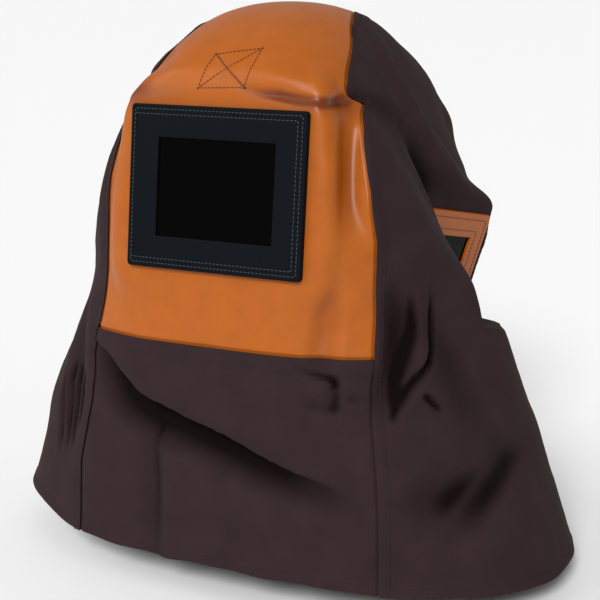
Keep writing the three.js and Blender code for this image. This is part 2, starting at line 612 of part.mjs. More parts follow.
function windowPieces(names, seat, sizes) {
  const { width, height, thick, openWidth, openHeight, paneWidth, paneHeight, pane } = sizes;
  const frame = boxSolid(seat, width, height, plateGap, plateGap + thick)
    .subtract(boxSolid(seat, openWidth, openHeight, -through, through))
    .subtract(boxSolid(seat, paneWidth + 2 * paneGap, paneHeight + 2 * paneGap, -through,
      plateGap + pane + paneGap));
  addSolid(names.frame, frame, names.frameMaterial);
  addSolid(names.glass, boxSolid(seat, paneWidth, paneHeight, plateGap, plateGap + pane), darkGlass);
}
// ---- leather front and cloth ----
const leatherGrid = [...frontRows.slice(bibCells), ...crownRows.slice(1, leatherCrownCells + 1)];
addSolid("front_leather_panel", cutPanel(leatherGrid, leatherThick, frontSeat,
  { width: apertureWidth, height: apertureHeight }, { width: windowWidth, height: windowHeight }), orangeLeather);
function addPanel(name, grid, thick, material) {
  const { positions, triangles } = panelWall(grid, thick);
  return addMesh(name, positions, triangles, material);
}
addPanel("bib_panel", frontRows.slice(0, bibCells + 1), clothThick, brownCloth);
addPanel("back_panel", [...crownRows.slice(leatherCrownCells), ...backRows.slice(0, -1).reverse()], clothThick,
  brownCloth);
const sideOpenWidth = sideWidth - 2 * sideBand;
const sideOpenHeight = sideHeight - 2 * sideBand;
for (const [name, side, seat] of [["left", 1, leftSeat], ["right", -1, rightSeat]]) {
  addSolid(`side_panel_${name}`, cutPanel(sideGrid(side), clothThick, seat,
    { width: sideOpenWidth, height: sideOpenHeight }, { width: sideWidth, height: sideHeight }), brownCloth);
  windowPieces({ frame: `side_window_frame_${name}`, glass: `side_window_glass_${name}`,
    frameMaterial: orangeLeather }, seat, {
    width: sideWidth, height: sideHeight, thick: sideThick, openWidth: sideOpenWidth, openHeight: sideOpenHeight,
    paneWidth: sideOpenWidth + 2 * paneLap, paneHeight: sideOpenHeight + 2 * paneLap, pane: paneThick,
  });
}
windowPieces({ frame: "window_frame", glass: "filter_glass", frameMaterial: blackLeather }, frontSeat, {
  width: windowWidth, height: windowHeight, thick: windowThick, openWidth: apertureWidth,
  openHeight: apertureHeight, paneWidth: glassWidth, paneHeight: glassHeight, pane: glassThick,
});

// ---- bump cap: shell, headband and the hook-and-loop pad behind the stitched square ----
const capLevels = [0, 0.14, 0.28, 0.43, 0.57, 0.70, 0.81, 0.90, 0.965];
const capSides = 28;
function capPoint(angle, share, inset) {
  const c = Math.cos(angle);
  const s = Math.sin(angle);
  const depth = (c > 0 ? capFront : capBack) - inset;
  const dome = (1 - share ** capSquareness) ** (1 / capSquareness);
  const flat = Math.abs(c / depth) ** capSquareness + Math.abs(s / (capHalfWidth - inset)) ** capSquareness;
  const radius = flat ** (-1 / capSquareness) * dome;
  return new THREE.Vector3(radius * s, capCentre + capLean * share - radius * c, share * (capRise - inset));
}
const capRing = (share, inset) => count(0, capSides - 1)
  .map((k) => capPoint(2 * Math.PI * k / capSides, share, inset));
function capShell() {
  const rings = [capLevels.map((share) => capRing(share, 0)), capLevels.map((share) => capRing(share, capThick))];
  const positions = [];
  for (const layer of rings) for (const ring of layer) for (const p of ring) positions.push(p.x, p.y, p.z);
  const tops = [positions.length / 3, positions.length / 3 + 1];
  positions.push(0, capCentre + capLean, capRise, 0, capCentre + capLean, capRise - capThick);
  const last = capLevels.length - 1;
  const id = (layer, i, k) => (layer * capLevels.length + i) * capSides + (k % capSides);
  const triangles = [];
  const quad = (a, b, c, d) => triangles.push(a, b, c, a, c, d);
  for (let k = 0; k < capSides; k += 1) {
    for (let i = 0; i < last; i += 1) {
      quad(id(0, i, k), id(0, i, k + 1), id(0, i + 1, k + 1), id(0, i + 1, k));
      quad(id(1, i, k), id(1, i + 1, k), id(1, i + 1, k + 1), id(1, i, k + 1));
    }
    quad(id(0, 0, k), id(1, 0, k), id(1, 0, k + 1), id(0, 0, k + 1));
    triangles.push(id(0, last, k), id(0, last, k + 1), tops[0], id(1, last, k), tops[1], id(1, last, k + 1));
  }
  addMesh("bump_cap_shell", positions, triangles, capPlastic);
}
capShell();
const bandRings = 3;
function capBand() {
  const inset = capThick + capGap;
  const loop = [];
  for (const share of capLevels.slice(0, bandRings)) loop.push(capRing(share, inset));
  for (const share of capLevels.slice(0, bandRings).reverse()) {
    loop.push(capRing(share, inset).map((p) => {
      const kept = 1 - capBandThick / Math.hypot(p.x, p.y - capCentre);
      return new THREE.Vector3(p.x * kept, capCentre + (p.y - capCentre) * kept, p.z);
    }));
  }
  const positions = loop.flat().flatMap((p) => [p.x, p.y, p.z]);
  const id = (i, k) => (i % loop.length) * capSides + (k % capSides);
  const triangles = [];
  for (let i = 0; i < loop.length; i += 1) {
    for (let k = 0; k < capSides; k += 1) {
      triangles.push(id(i, k), id(i, k + 1), id(i + 1, k + 1), id(i, k), id(i + 1, k + 1), id(i + 1, k));
    }
  }
  addMesh("bump_cap_headband", positions, triangles, padFabric);
}
capBand();
function insideCap(point) {
  const y = point.y - capCentre - capLean * point.z / capRise;
  const c = y / (y < 0 ? capFront : capBack);
  const flat = Math.abs(c) ** capSquareness + Math.abs(point.x / capHalfWidth) ** capSquareness;
  return flat + Math.abs(point.z / capRise) ** capSquareness < 1;
}
// The pad fills the space between two cells of the leather's inner face and the shell.
const padRows = [1, 4];
const padColumns = [5, 7];
const padSplit = 3;
function refine(grid, split) {
  const rows = count(0, (grid.length - 1) * split);
  const columns = count(0, (grid[0].length - 1) * split);
  return rows.map((r) => columns.map((c) => {
    const i = Math.min(Math.floor(r / split), grid.length - 2);
    const j = Math.min(Math.floor(c / split), grid[0].length - 2);
    const low = grid[i][j].clone().lerp(grid[i][j + 1], c / split - j);
    const high = grid[i + 1][j].clone().lerp(grid[i + 1][j + 1], c / split - j);
    return low.lerp(high, r / split - i);
  }));
}
const feeler = 0.05;
function capPad() {
  const firstRow = frontCells - bibCells;
  const cells = innerFace(leatherGrid, leatherThick).slice(firstRow + padRows[0], firstRow + padRows[1])
    .map((row) => row.slice(padColumns[0], padColumns[1] + 1));
  const layers = refine(cells, padSplit).map((row) => row.map((point) => {
    const normal = outwardNormal(point);
    const near = point.clone().addScaledVector(normal, -capGap);
    let depth = 0;
    while (!insideCap(near.clone().addScaledVector(normal, -depth)) && depth < through) depth += feeler;
    return [near, near.clone().addScaledVector(normal, capGap - depth)];
  }));
  const { positions, triangles } = wall(layers.map((row) => row.map((pair) => pair[0])),
    layers.map((row) => row.map((pair) => pair[1])));
  addMesh("cap_pad", positions, triangles, padFabric);
}
capPad();

export default hood;
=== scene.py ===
import math
import bpy
import numpy as np
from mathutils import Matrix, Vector, noise


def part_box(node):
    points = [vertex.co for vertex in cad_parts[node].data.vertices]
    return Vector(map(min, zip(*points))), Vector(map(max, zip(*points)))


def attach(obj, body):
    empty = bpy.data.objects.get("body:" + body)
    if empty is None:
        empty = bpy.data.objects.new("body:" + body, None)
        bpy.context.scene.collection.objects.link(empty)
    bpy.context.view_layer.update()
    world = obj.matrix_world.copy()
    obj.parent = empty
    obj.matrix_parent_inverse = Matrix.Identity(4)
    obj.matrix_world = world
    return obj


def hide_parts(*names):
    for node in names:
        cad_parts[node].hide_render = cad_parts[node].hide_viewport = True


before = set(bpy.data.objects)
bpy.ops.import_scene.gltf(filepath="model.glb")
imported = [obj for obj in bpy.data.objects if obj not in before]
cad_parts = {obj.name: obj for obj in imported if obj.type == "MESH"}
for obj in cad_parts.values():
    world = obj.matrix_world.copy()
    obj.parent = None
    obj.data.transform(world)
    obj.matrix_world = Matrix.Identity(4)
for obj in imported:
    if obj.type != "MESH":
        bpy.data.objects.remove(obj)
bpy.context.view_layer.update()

# the drape, in millimetres at the drawn size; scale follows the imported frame
hood = {
    "drawnWidth": 500.5,
    "height": 460.0,
    "crownRise": 79.0,
    "hemHalfWidth": 250.0,
    "frontDepth": 157.0,
    "backDepth": 190.0,
    "crownRoundness": 2.15,
    "foldReach": 40.0,
    "foldLift": 20.0,
    "foldRadius": 150.0,
    "hemFront": 361.0,
    "hemDrop": 24.0,
    "hemLift": 19.0,
    "hemWave": 1.2,
    "bibTop": 179.0,
    "turnHeight": 5.5,
    "turnDepth": -5.0,
    "clothThick": 1.4,
    "leatherThick": 1.8,
}
frontWindow = {
    "width": 150.0, "height": 126.0, "tilt": 6.8, "depth": 157.5, "drop": 58.5, "thick": 5.2,
    "openWidth": 100.0, "openHeight": 76.0, "blend": 34.0, "gap": 0.4, "cornerRadius": 3.0,
}
sideWindow = {
    "width": 104.0, "height": 80.0, "band": 22.0, "thick": 4.4, "facing": 72.0, "lean": 12.0, "turn": 12.0,
    "corner": (135.0, 100.0, -109.0), "margin": 4.0, "gap": 0.4, "cornerRadius": 3.0,
    "frontBlend": 24.0, "rearBlend": 20.0, "lowerBlend": 16.0, "lowerRearBlend": 50.0, "upperBlend": 32.0,
}

# rows of height, half width, front, back, centre shift, squareness front and back, in shares of these sizes
sections = [
    (0.161, 0.416, 0.790, 0.442, -0.127, 2.5, 2.0),
    (0.087, 0.396, 0.854, 0.589, -0.076, 2.8, 2.1),
    (0.022, 0.416, 0.943, 0.684, -0.038, 3.4, 2.4),
    (-0.054, 0.456, 0.981, 0.747, -0.038, 3.9, 2.6),
    (-0.152, 0.520, 1.000, 0.800, -0.051, 4.0, 2.9),
    (-0.254, 0.576, 0.994, 0.874, -0.064, 3.8, 3.1),
    (-0.326, 0.624, 0.981, 0.853, -0.089, 3.3, 2.6),
    (-0.398, 0.696, 0.968, 0.832, -0.127, 3.0, 2.2),
    (-0.500, 0.788, 0.955, 0.842, -0.153, 2.7, 2.0),
    (-0.576, 0.848, 0.955, 0.884, -0.159, 2.6, 2.0),
    (-0.674, 0.910, 0.955, 0.926, -0.159, 2.5, 2.0),
    (-0.807, 0.988, 0.962, 0.968, -0.159, 2.5, 2.1),
    (-0.870, 1.012, 0.968, 0.989, -0.159, 2.5, 2.1),
]
# both sides or one; path rows of angle, height, reach to the rear or above, reach to the front or below, lift
folds = {
    "capBulge": (True, [
        (2, 0.085, 0.8, 0.5, 0.1), (22, 0.065, 0.8, 0.45, 0.34), (42, 0.062, 0.7, 0.45, 0.36),
        (58, 0.07, 0.7, 0.5, 0.1)
    ]),
    "grooveUnderCap": (True, [
        (6, 0.045, 0.35, 0.3, -0.08), (20, 0.03, 0.35, 0.3, -0.18), (34, 0.018, 0.35, 0.3, -0.25),
        (44, 0.012, 0.3, 0.3, -0.12)
    ]),
    "templeTuck": (True, [
        (38, 0.016, 0.3, 0.4, -0.12), (47, 0.012, 0.3, 0.5, -0.25), (57, -0.004, 0.35, 0.55, -0.3),
        (66, -0.035, 0.4, 0.6, -0.2), (74, -0.07, 0.4, 0.6, 0)
    ]),
    "templeRidge": (True, [
        (44, -0.004, 0.4, 0.5, 0.1), (50, -0.076, 0.6, 0.9, 0.4), (56, -0.135, 0.7, 1.2, 0.55),
        (63, -0.206, 0.8, 1.4, 0.7), (71, -0.272, 0.9, 1.4, 0.75), (79, -0.33, 1.0, 1.3, 0.75),
        (84, -0.4, 1.1, 1.3, 0.4), (87, -0.48, 1.1, 1.3, 0)
    ]),
    "leftShoulder": (False, [
        (74, -0.26, 0.7, 1.2, 0.05), (80, -0.32, 0.8, 1.4, 0.35), (84, -0.38, 1.1, 1.5, 0.55),
        (86, -0.44, 1.2, 1.5, 0.6), (88, -0.52, 1.3, 1.5, 0.4), (88, -0.62, 1.3, 1.5, 0.3),
        (89, -0.8, 1.3, 1.5, 0.3)
    ]),
    "hollowBehindRidge": (True, [
        (70, -0.05, 0.8, 0.5, -0.2), (80, -0.12, 0.9, 0.6, -0.75), (90, -0.2, 0.9, 0.8, -0.95),
        (98, -0.29, 0.9, 0.8, -0.5), (108, -0.36, 0.8, 0.8, -0.1)
    ]),
    "crownEdge": (True, [
        (84, 0.126, 0.35, 0.5, 0.05), (75, 0.078, 0.4, 0.6, 0.2), (77, 0.022, 0.4, 0.7, 0.28),
        (87, -0.048, 0.4, 0.7, 0.32), (98, -0.096, 0.4, 0.7, 0.3), (112, -0.165, 0.5, 0.6, 0.25),
        (123, -0.213, 0.5, 0.5, 0.1)
    ]),
    "rearCapCorner": (True, [
        (128, -0.02, 0.7, 0.8, 0.05), (133, -0.05, 0.7, 0.8, 0.3), (138, -0.09, 0.8, 0.8, 0)
    ]),
    "neckBulge": (True, [
        (122, -0.26, 0.8, 0.8, 0.3), (124, -0.3, 0.8, 0.9, 0.9), (122, -0.345, 0.8, 0.8, 0.5),
        (118, -0.38, 0.8, 0.8, 0)
    ]),
    "leatherEdge": (True, [
        (44, -0.01, 0.3, 0.4, 0.1), (42, -0.065, 0.35, 0.5, 0.25), (42, -0.15, 0.35, 0.5, 0.25),
        (43, -0.24, 0.35, 0.5, 0.05)
    ]),
    "leatherValley": (False, [
        (40, -0.005, 0.3, 0.35, -0.2), (39, -0.055, 0.3, 0.4, -0.45), (38.4, -0.11, 0.3, 0.4, -0.5),
        (38.5, -0.15, 0.3, 0.4, -0.4), (39.5, -0.2, 0.35, 0.4, -0.1)
    ]),
    "chinCrease": (False, [
        (33.3, -0.26, 0.3, 0.3, -0.05), (32.6, -0.335, 0.35, 0.35, -0.25),
        (31.8, -0.4, 0.35, 0.35, -0.15)
    ]),
    "bibFold": (False, [
        (-43, -0.425, 0.2, 0.5, -0.1), (-37, -0.44, 0.22, 0.6, -0.5), (-31, -0.472, 0.25, 0.7, -0.75),
        (-25, -0.505, 0.25, 0.8, -0.85), (-10, -0.532, 0.28, 0.8, -0.8), (7, -0.559, 0.28, 0.8, -0.75),
        (22, -0.594, 0.25, 0.7, -0.65), (32, -0.615, 0.25, 0.6, -0.4), (40, -0.645, 0.25, 0.5, -0.08)
    ]),
    "bibBulge": (False, [
        (-34, -0.41, 0.9, 0.5, 0.05), (-22, -0.45, 1.0, 0.5, 0.3), (-8, -0.485, 1.1, 0.5, 0.45),
        (6, -0.512, 1.1, 0.5, 0.5), (20, -0.547, 1.0, 0.5, 0.4), (32, -0.585, 0.8, 0.5, 0.15)
    ]),
    "bibCrease": (False, [
        (-19, -0.54, 0.3, 0.5, -0.05), (-20, -0.65, 0.3, 0.5, -0.2), (-20, -0.78, 0.3, 0.5, -0.12)
    ]),
    "sidePocket": (False, [
        (49, -0.26, 0.35, 0.3, -0.1), (51, -0.32, 0.5, 0.4, -0.45), (50.5, -0.385, 0.5, 0.4, -0.55),
        (48, -0.45, 0.4, 0.35, -0.3), (46, -0.495, 0.3, 0.3, -0.05)
    ]),
    "sideValley": (False, [
        (59, -0.25, 0.4, 0.6, -0.1), (65, -0.32, 0.5, 0.7, -0.4), (69, -0.39, 0.6, 0.8, -0.5),
        (74, -0.47, 0.6, 0.9, -0.45), (81, -0.56, 0.6, 0.8, -0.1)
    ]),
    "hemSweep": (False, [
        (86, -0.55, 0.5, 0.7, -0.1), (79, -0.58, 0.55, 0.8, -0.35), (72, -0.61, 0.55, 0.8, -0.3),
        (64, -0.655, 0.5, 0.7, -0.2), (57, -0.71, 0.4, 0.5, -0.05)
    ]),
    "secondHemSweep": (False, [
        (63, -0.57, 0.4, 0.5, -0.05), (57, -0.625, 0.45, 0.6, -0.25), (52, -0.67, 0.4, 0.5, -0.08)
    ]),
    "rightTempleHollow": (False, [
        (-22, 0.035, 0.7, 0.6, -0.1), (-30, 0.05, 0.8, 0.7, -0.5), (-38, 0.07, 0.8, 0.7, -0.55),
        (-48, 0.095, 0.7, 0.7, -0.1)
    ]),
    "rightDrape": (False, [
        (-58, -0.3, 0.6, 0.5, -0.05), (-55, -0.4, 0.7, 0.6, -0.35), (-53, -0.52, 0.7, 0.6, -0.35),
        (-57, -0.66, 0.6, 0.6, -0.1)
    ]),
    "rightShoulder": (False, [
        (-78, -0.4, 0.7, 0.7, 0.05), (-76, -0.52, 0.8, 0.8, 0.3), (-75, -0.68, 0.8, 0.8, 0.2),
        (-74, -0.8, 0.8, 0.8, 0.3)
    ]),
    "backHollow": (True, [
        (150, -0.42, 0.8, 0.8, -0.05), (148, -0.55, 0.9, 0.9, -0.4), (146, -0.7, 1.0, 1.0, -0.45),
        (145, -0.83, 1.0, 1.0, -0.5)
    ]),
    "backRidge": (True, [
        (118, -0.45, 0.9, 0.9, 0), (120, -0.58, 0.9, 0.9, 0.3), (121, -0.72, 1.0, 1.0, 0.35),
        (122, -0.83, 1.0, 1.0, 0.4)
    ]),
}
# centre panels' half widths in shares of the hem's: height or turn, wearer's right, wearer's left
seamHalves = [
    (-0.8, 0.545, 0.552), (-0.65, 0.543, 0.54), (-0.595, 0.515, 0.534), (-0.528, 0.482, 0.52),
    (-0.48, 0.47, 0.508), (-0.44, 0.48, 0.505), (-0.4, 0.46, 0.509), (-0.375, 0.442, 0.503),
    (-0.28, 0.415, 0.492), (-0.2, 0.412, 0.49), (-0.12, 0.418, 0.466), (-0.05, 0.4, 0.425),
    (-0.02, 0.39, 0.41), (0.012, 0.378, 0.378)
]
crownHalves = [
    (0, 0.379), (3.5, 0.35), (9, 0.352), (27, 0.313), (50, 0.262), (90, 0.19), (120, 0.18), (150, 0.2),
    (180, 0.24)
]
backHalves = [
    (-0.84, 0.4), (-0.6, 0.34), (-0.4, 0.29), (-0.2, 0.26), (0.012, 0.24)
]
gridCells = {"bib": 11, "chin": 3, "window": 6, "temple": 7, "round": 20, "leatherCrown": 21,
             "templeTurn": 45.0, "crowding": 1.15}


def ease(value):
    t = np.clip(value, 0, 1)
    return t * t * (3 - 2 * t)


def mix(a, b, t):
    return a + (b - a) * t


def sectionValue(column, z):
    rows = sorted(sections)
    xs = np.array([row[0] for row in rows])
    ys = np.array([row[column] for row in rows])
    last = len(xs) - 1
    slopes = np.array([(ys[min(i + 1, last)] - ys[max(i - 1, 0)]) / (xs[min(i + 1, last)] - xs[max(i - 1, 0)])
                       for i in range(last + 1)])
    x = np.clip(z / hood["height"], xs[0], xs[-1])
    i = np.clip(np.searchsorted(xs, x, side="right") - 1, 0, last - 1)
    step = xs[i + 1] - xs[i]
    t = (x - xs[i]) / step
    t2, t3 = t * t, t * t * t
    return ((2 * t3 - 3 * t2 + 1) * ys[i] + (t3 - 2 * t2 + t) * step * slopes[i]
            + (3 * t2 - 2 * t3) * ys[i + 1] + (t3 - t2) * step * slopes[i + 1])


def foldPoints(path, steps=5):
    rows = np.array(path, float)
    points = []
    for i in range(len(rows) - 1):
        p0, p1, p2, p3 = rows[max(i - 1, 0)], rows[i], rows[i + 1], rows[min(i + 2, len(rows) - 1)]
        for k in range(steps):
            t = k / steps
            points.append(0.5 * (2 * p1 + (p2 - p0) * t + (2 * p0 - 5 * p1 + 4 * p2 - p3) * t * t
                                 + (3 * p1 - p0 - 3 * p2 + p3) * t ** 3))
    points.append(rows[-1])
    points = np.array(points)
    points[:, 0] *= math.radians(1) * hood["foldRadius"]
    points[:, 1] *= hood["height"]
    points[:, 2:4] *= hood["foldReach"]
    points[:, 4] *= hood["foldLift"]
    return points


def pathLift(points, x, z, softness=6.0):
    reach = points[:, 2:4].max()
    inside = ((x > points[:, 0].min() - reach) & (x < points[:, 0].max() + reach)
              & (z > points[:, 1].min() - reach) & (z < points[:, 1].max() + reach))
    lift = np.zeros(x.shape)
    if not inside.any():
        return lift
    px, pz = x[inside], z[inside]
    nearest = np.full(px.shape, 1e9)
    found = np.zeros(px.shape)
    for a, b in zip(points[:-1], points[1:]):
        dx, dz = b[0] - a[0], b[1] - a[1]
        length = math.hypot(dx, dz)
        t = np.clip(((px - a[0]) * dx + (pz - a[1]) * dz) / length ** 2, 0, 1)
        ex, ez = px - a[0] - t * dx, pz - a[1] - t * dz
        away = np.hypot(ex, ez)
        share = 0.5 + 0.5 * np.clip((dx * ez - dz * ex) / length / softness, -1, 1)
        across = mix(mix(a[3], b[3], t), mix(a[2], b[2], t), share)
        q = np.minimum(away / across, 1)
        value = mix(a[4], b[4], t) * (1 - q * q) ** 2
        closer = away < nearest
        nearest = np.where(closer, away, nearest)
        found = np.where(closer, value, found)
    lift[inside] = found
    return lift


def windowSeat():
    tilt = math.radians(frontWindow["tilt"])
    blend = frontWindow["blend"]
    return {
        "normal": np.array([0, -math.cos(tilt), math.sin(tilt)]),
        "across": np.array([1.0, 0, 0]),
        "up": np.array([0, math.sin(tilt), math.cos(tilt)]),
        "centre": np.array([0, -frontWindow["depth"], -frontWindow["drop"]]),
        "halfWidth": frontWindow["width"] / 2 + 1, "halfHeight": frontWindow["height"] / 2 + 1,
        "blends": (blend, blend, blend, blend, blend),
    }


def sideSeat(side):
    facing, lean, turn = (math.radians(sideWindow[key]) for key in ("facing", "lean", "turn"))
    level = np.array([math.sin(facing), -math.cos(facing), 0])
    rear = np.array([math.cos(facing), math.sin(facing), 0])
    normal = level * math.cos(lean) - np.array([0, 0, math.sin(lean)])
    rise = np.cross(rear, normal)
    rise = rise if rise[2] > 0 else -rise
    across = rear * math.cos(turn) - rise * math.sin(turn)
    up = rear * math.sin(turn) + rise * math.cos(turn)
    centre = np.array(sideWindow["corner"]) - across * sideWindow["width"] / 2 - up * sideWindow["height"] / 2
    mirror = np.array([side, 1, 1])
    return {
        "normal": normal * mirror, "across": across * mirror, "up": up * mirror, "centre": centre * mirror,
        "halfWidth": sideWindow["width"] / 2 + sideWindow["margin"],
        "halfHeight": sideWindow["height"] / 2 + sideWindow["margin"],
        "blends": tuple(sideWindow[key] for key in
                        ("frontBlend", "rearBlend", "lowerBlend", "lowerRearBlend", "upperBlend")),
    }


seats = {"front": windowSeat(), "left": sideSeat(1), "right": sideSeat(-1)}


def flatten(radius, angle, z, shift, seat):
    dx, dy = np.sin(angle), -np.cos(angle)
    normal, centre = seat["normal"], seat["centre"]
    slant = normal[0] * dx + normal[1] * dy
    usable = slant > 0.15
    flat = (normal @ centre - normal[2] * z - normal[1] * shift) / np.where(usable, slant, 1)
    offset = np.stack([flat * dx, shift + flat * dy, z], -1) - centre
    u, v = offset @ seat["across"], offset @ seat["up"]
    front, rear, lowerFront, lowerRear, upper = seat["blends"]
    lower = mix(lowerFront, lowerRear, ease(0.5 + u / seat["halfWidth"] / 2))
    overU = np.maximum(u - seat["halfWidth"], 0) / rear + np.maximum(-u - seat["halfWidth"], 0) / front
    overV = np.maximum(v - seat["halfHeight"], 0) / upper + np.maximum(-v - seat["halfHeight"], 0) / lower
    return mix(radius, flat, ease(1 - np.hypot(overU, overV)) * usable)


foldPaths = {name: (both, foldPoints(path)) for name, (both, path) in folds.items()}


def centreShift(z):
    return sectionValue(4, z) * hood["frontDepth"]


def hoodRadius(angle, z):
    c, s = np.cos(angle), np.sin(angle)
    square = mix(sectionValue(6, z), sectionValue(5, z), ease((c + 0.35) / 0.7))
    depth = np.where(c > 0, sectionValue(2, z) * hood["frontDepth"], sectionValue(3, z) * hood["backDepth"])
    width = sectionValue(1, z) * hood["hemHalfWidth"]
    roundness = hood["crownRoundness"]
    dome = (1 - np.clip(z / hood["crownRise"], 0, 1) ** roundness) ** (1 / roundness)
    radius = (np.abs(c / depth) ** square + np.abs(s / width) ** square) ** (-1 / square) * dome
    x = angle * hood["foldRadius"]
    for both, points in foldPaths.values():
        radius = radius + pathLift(points, x, z)
        if both:
            radius = radius + pathLift(points, -x, z)
    shift = centreShift(z)
    for seat in seats.values():
        radius = flatten(radius, angle, z, shift, seat)
    return radius


def leaving(origin, direction, far=420.0, rounds=21):
    low = np.zeros(origin.shape[:-1])
    high = np.full(origin.shape[:-1], far)
    for _ in range(rounds):
        middle = (low + high) / 2
        point = origin + direction * middle[..., None]
        y = point[..., 1] - centreShift(point[..., 2])
        out = np.hypot(point[..., 0], y) > hoodRadius(np.arctan2(point[..., 0], -y),
                                                      np.minimum(point[..., 2], hood["crownRise"]))
        out |= point[..., 2] >= hood["crownRise"]
        high = np.where(out, middle, high)
        low = np.where(out, low, middle)
    return origin + direction * low[..., None]


def panelPoints(x, level, turn):
    x, level, turn = np.broadcast_arrays(x, level, turn)
    origin = np.stack([x, np.full(x.shape, hood["turnDepth"]), np.minimum(level, hood["turnHeight"])], -1)
    direction = np.stack([np.zeros(x.shape), -np.cos(turn), np.sin(turn)], -1)
    return leaving(origin.astype(float), direction)


def facePoints(angle, z):
    radius = hoodRadius(angle, z)
    return np.stack([radius * np.sin(angle), centreShift(z) - radius * np.cos(angle), z], -1)


def angleOf(point):
    return np.arctan2(point[..., 0], -(point[..., 1] - centreShift(point[..., 2])))


def hemHeight(angle):
    level = -hood["hemFront"] - hood["hemDrop"] * (1 - np.cos(angle)) / 2
    lifted = hood["hemLift"] * np.exp(-((angle + 1.4) / 0.5) ** 2)
    return level + lifted + hood["hemWave"] * np.sin(angle * 17) * np.sin(angle * 5)


# edges of the panels: front row or crown turn gives the seam's half width
frontCells = gridCells["bib"] + gridCells["chin"] + gridCells["window"]
crownCells = gridCells["round"] + 2 * gridCells["temple"]
windowFoot = (-frontWindow["drop"]
              - (frontWindow["height"] / 2 + 1) * math.cos(math.radians(frontWindow["tilt"])))


def lookUp(rows, place, share):
    table = np.array(rows)
    right = np.interp(place, table[:, 0], table[:, 1])
    left = np.interp(place, table[:, 0], table[:, -1])
    return np.where(share < 0, right, left) * hood["hemHalfWidth"]


def frontLevel(row):
    bib, chin = gridCells["bib"], gridCells["chin"]
    return np.interp(row, [0, bib, bib + chin, frontCells],
                     [-hood["hemFront"], -hood["bibTop"], windowFoot, hood["turnHeight"]])


def backLevel(row):
    return mix(-hood["hemFront"] - hood["hemDrop"], hood["turnHeight"], row / frontCells)


def crownTurn(column):
    temple, corner = gridCells["temple"], gridCells["templeTurn"]
    inner = np.clip((column - temple) / gridCells["round"], 0, 1) ** gridCells["crowding"]
    turn = np.where(column <= temple, corner * column / temple, mix(corner, 180 - corner, inner))
    return np.where(column >= crownCells - temple, 180 - corner * (crownCells - column) / temple, turn)


def levelPoints(share, row, turn):
    level = frontLevel(row) if turn == 0 else backLevel(row)
    half = lookUp(seamHalves if turn == 0 else backHalves, level / hood["height"], share)
    x = share * half
    points = panelPoints(x, level, turn)
    atHem = row < 1
    if atHem.any():
        for _ in range(3):
            goal = mix(hemHeight(angleOf(points)), frontLevel(1.0) if turn == 0 else backLevel(1.0), row)
            points = np.where(atHem[..., None], panelPoints(x, np.where(atHem, goal, level), turn), points)
    return points


def crownPoints(share, column):
    turn = crownTurn(column)
    return panelPoints(share * lookUp(crownHalves, turn, share), hood["turnHeight"], np.radians(turn))


def placesAlong(length, count, near):
    inner = count - 2 * len(near)
    share = (np.arange(inner) + 1) / (inner + 1)
    middle = near[-1] + (length[:, None] - 2 * near[-1]) * share
    start = np.tile(near, (len(length), 1))
    return np.concatenate([start, middle, length[:, None] - start[:, ::-1]], 1)


def walked(points, axis):
    steps = np.linalg.norm(np.diff(points, axis=axis), axis=-1)
    return np.concatenate([np.zeros_like(np.take(steps, [0], axis)), np.cumsum(steps, axis)], axis)


# millimetres from an edge at which the grid has its lines
nearEdge = np.array([0, 0.7, 1.4, 2.1, 2.8, 3.5, 4.2, 4.9, 5.6, 6.3, 7.0, 7.7, 8.4, 9.2, 10.2, 11.6, 13.4])


def fineGrid(evaluate, columns, rows, coarse=44):
    line = np.linspace(0, 1, coarse)
    u, v = np.meshgrid(line, line)
    points = evaluate(u, v)
    alongU, alongV = walked(points, 1), walked(points, 0)
    placesU = placesAlong(alongU[:, -1], columns, nearEdge)
    placesV = placesAlong(alongV[-1], rows, nearEdge)
    tableU = np.array([np.interp(placesU[i], alongU[i], line) for i in range(coarse)])
    tableV = np.array([np.interp(placesV[j], alongV[:, j], line) for j in range(coarse)]).T
    v = np.tile(tableV.mean(1)[:, None], (1, columns))
    for _ in range(3):
        u = np.stack([np.interp(v[:, m], line, tableU[:, m]) for m in range(columns)], 1)
        v = np.stack([np.interp(u[k], line, tableV[k]) for k in range(rows)], 0)
    return evaluate(u, v)


def gridNormals(points):
    across = np.gradient(points, axis=1)
    along = np.gradient(points, axis=0)
    normal = np.cross(across, along)
    normal /= np.linalg.norm(normal, axis=-1, keepdims=True)
    centre = np.stack([np.zeros(points.shape[:2]), centreShift(points[..., 2]),
                       np.minimum(points[..., 2], 0) - 20], -1)
    return normal if ((points - centre) * normal).sum() > 0 else -normal


# the five panels: each is stretched between its edges at u 0, u 1, v 0 and v 1, and laid on the surface
steps = 240


def frontLine(side, lowest, highest):
    rows = np.linspace(lowest, highest, steps)
    return rows, levelPoints(np.full(steps, float(side)), rows, 0)


def rearLine(side):
    rows = np.linspace(0, frontCells, steps)
    return rows, levelPoints(np.full(steps, float(side)), rows, math.pi)


def crownLine(side, first, last):
    columns = np.linspace(first, last, steps)
    return np.abs(columns - first), crownPoints(np.full(steps, float(side)), columns)


def joined(lower, upper):
    places = np.concatenate([lower[0] - lower[0][0], lower[0][-1] - lower[0][0] + upper[0][1:]])
    return places / places[-1], np.concatenate([lower[1], upper[1][1:]])


def alone(line):
    places = line[0] - line[0][0]
    return places / places[-1], line[1]


def across(points):
    return np.linspace(0, 1, len(points)), points


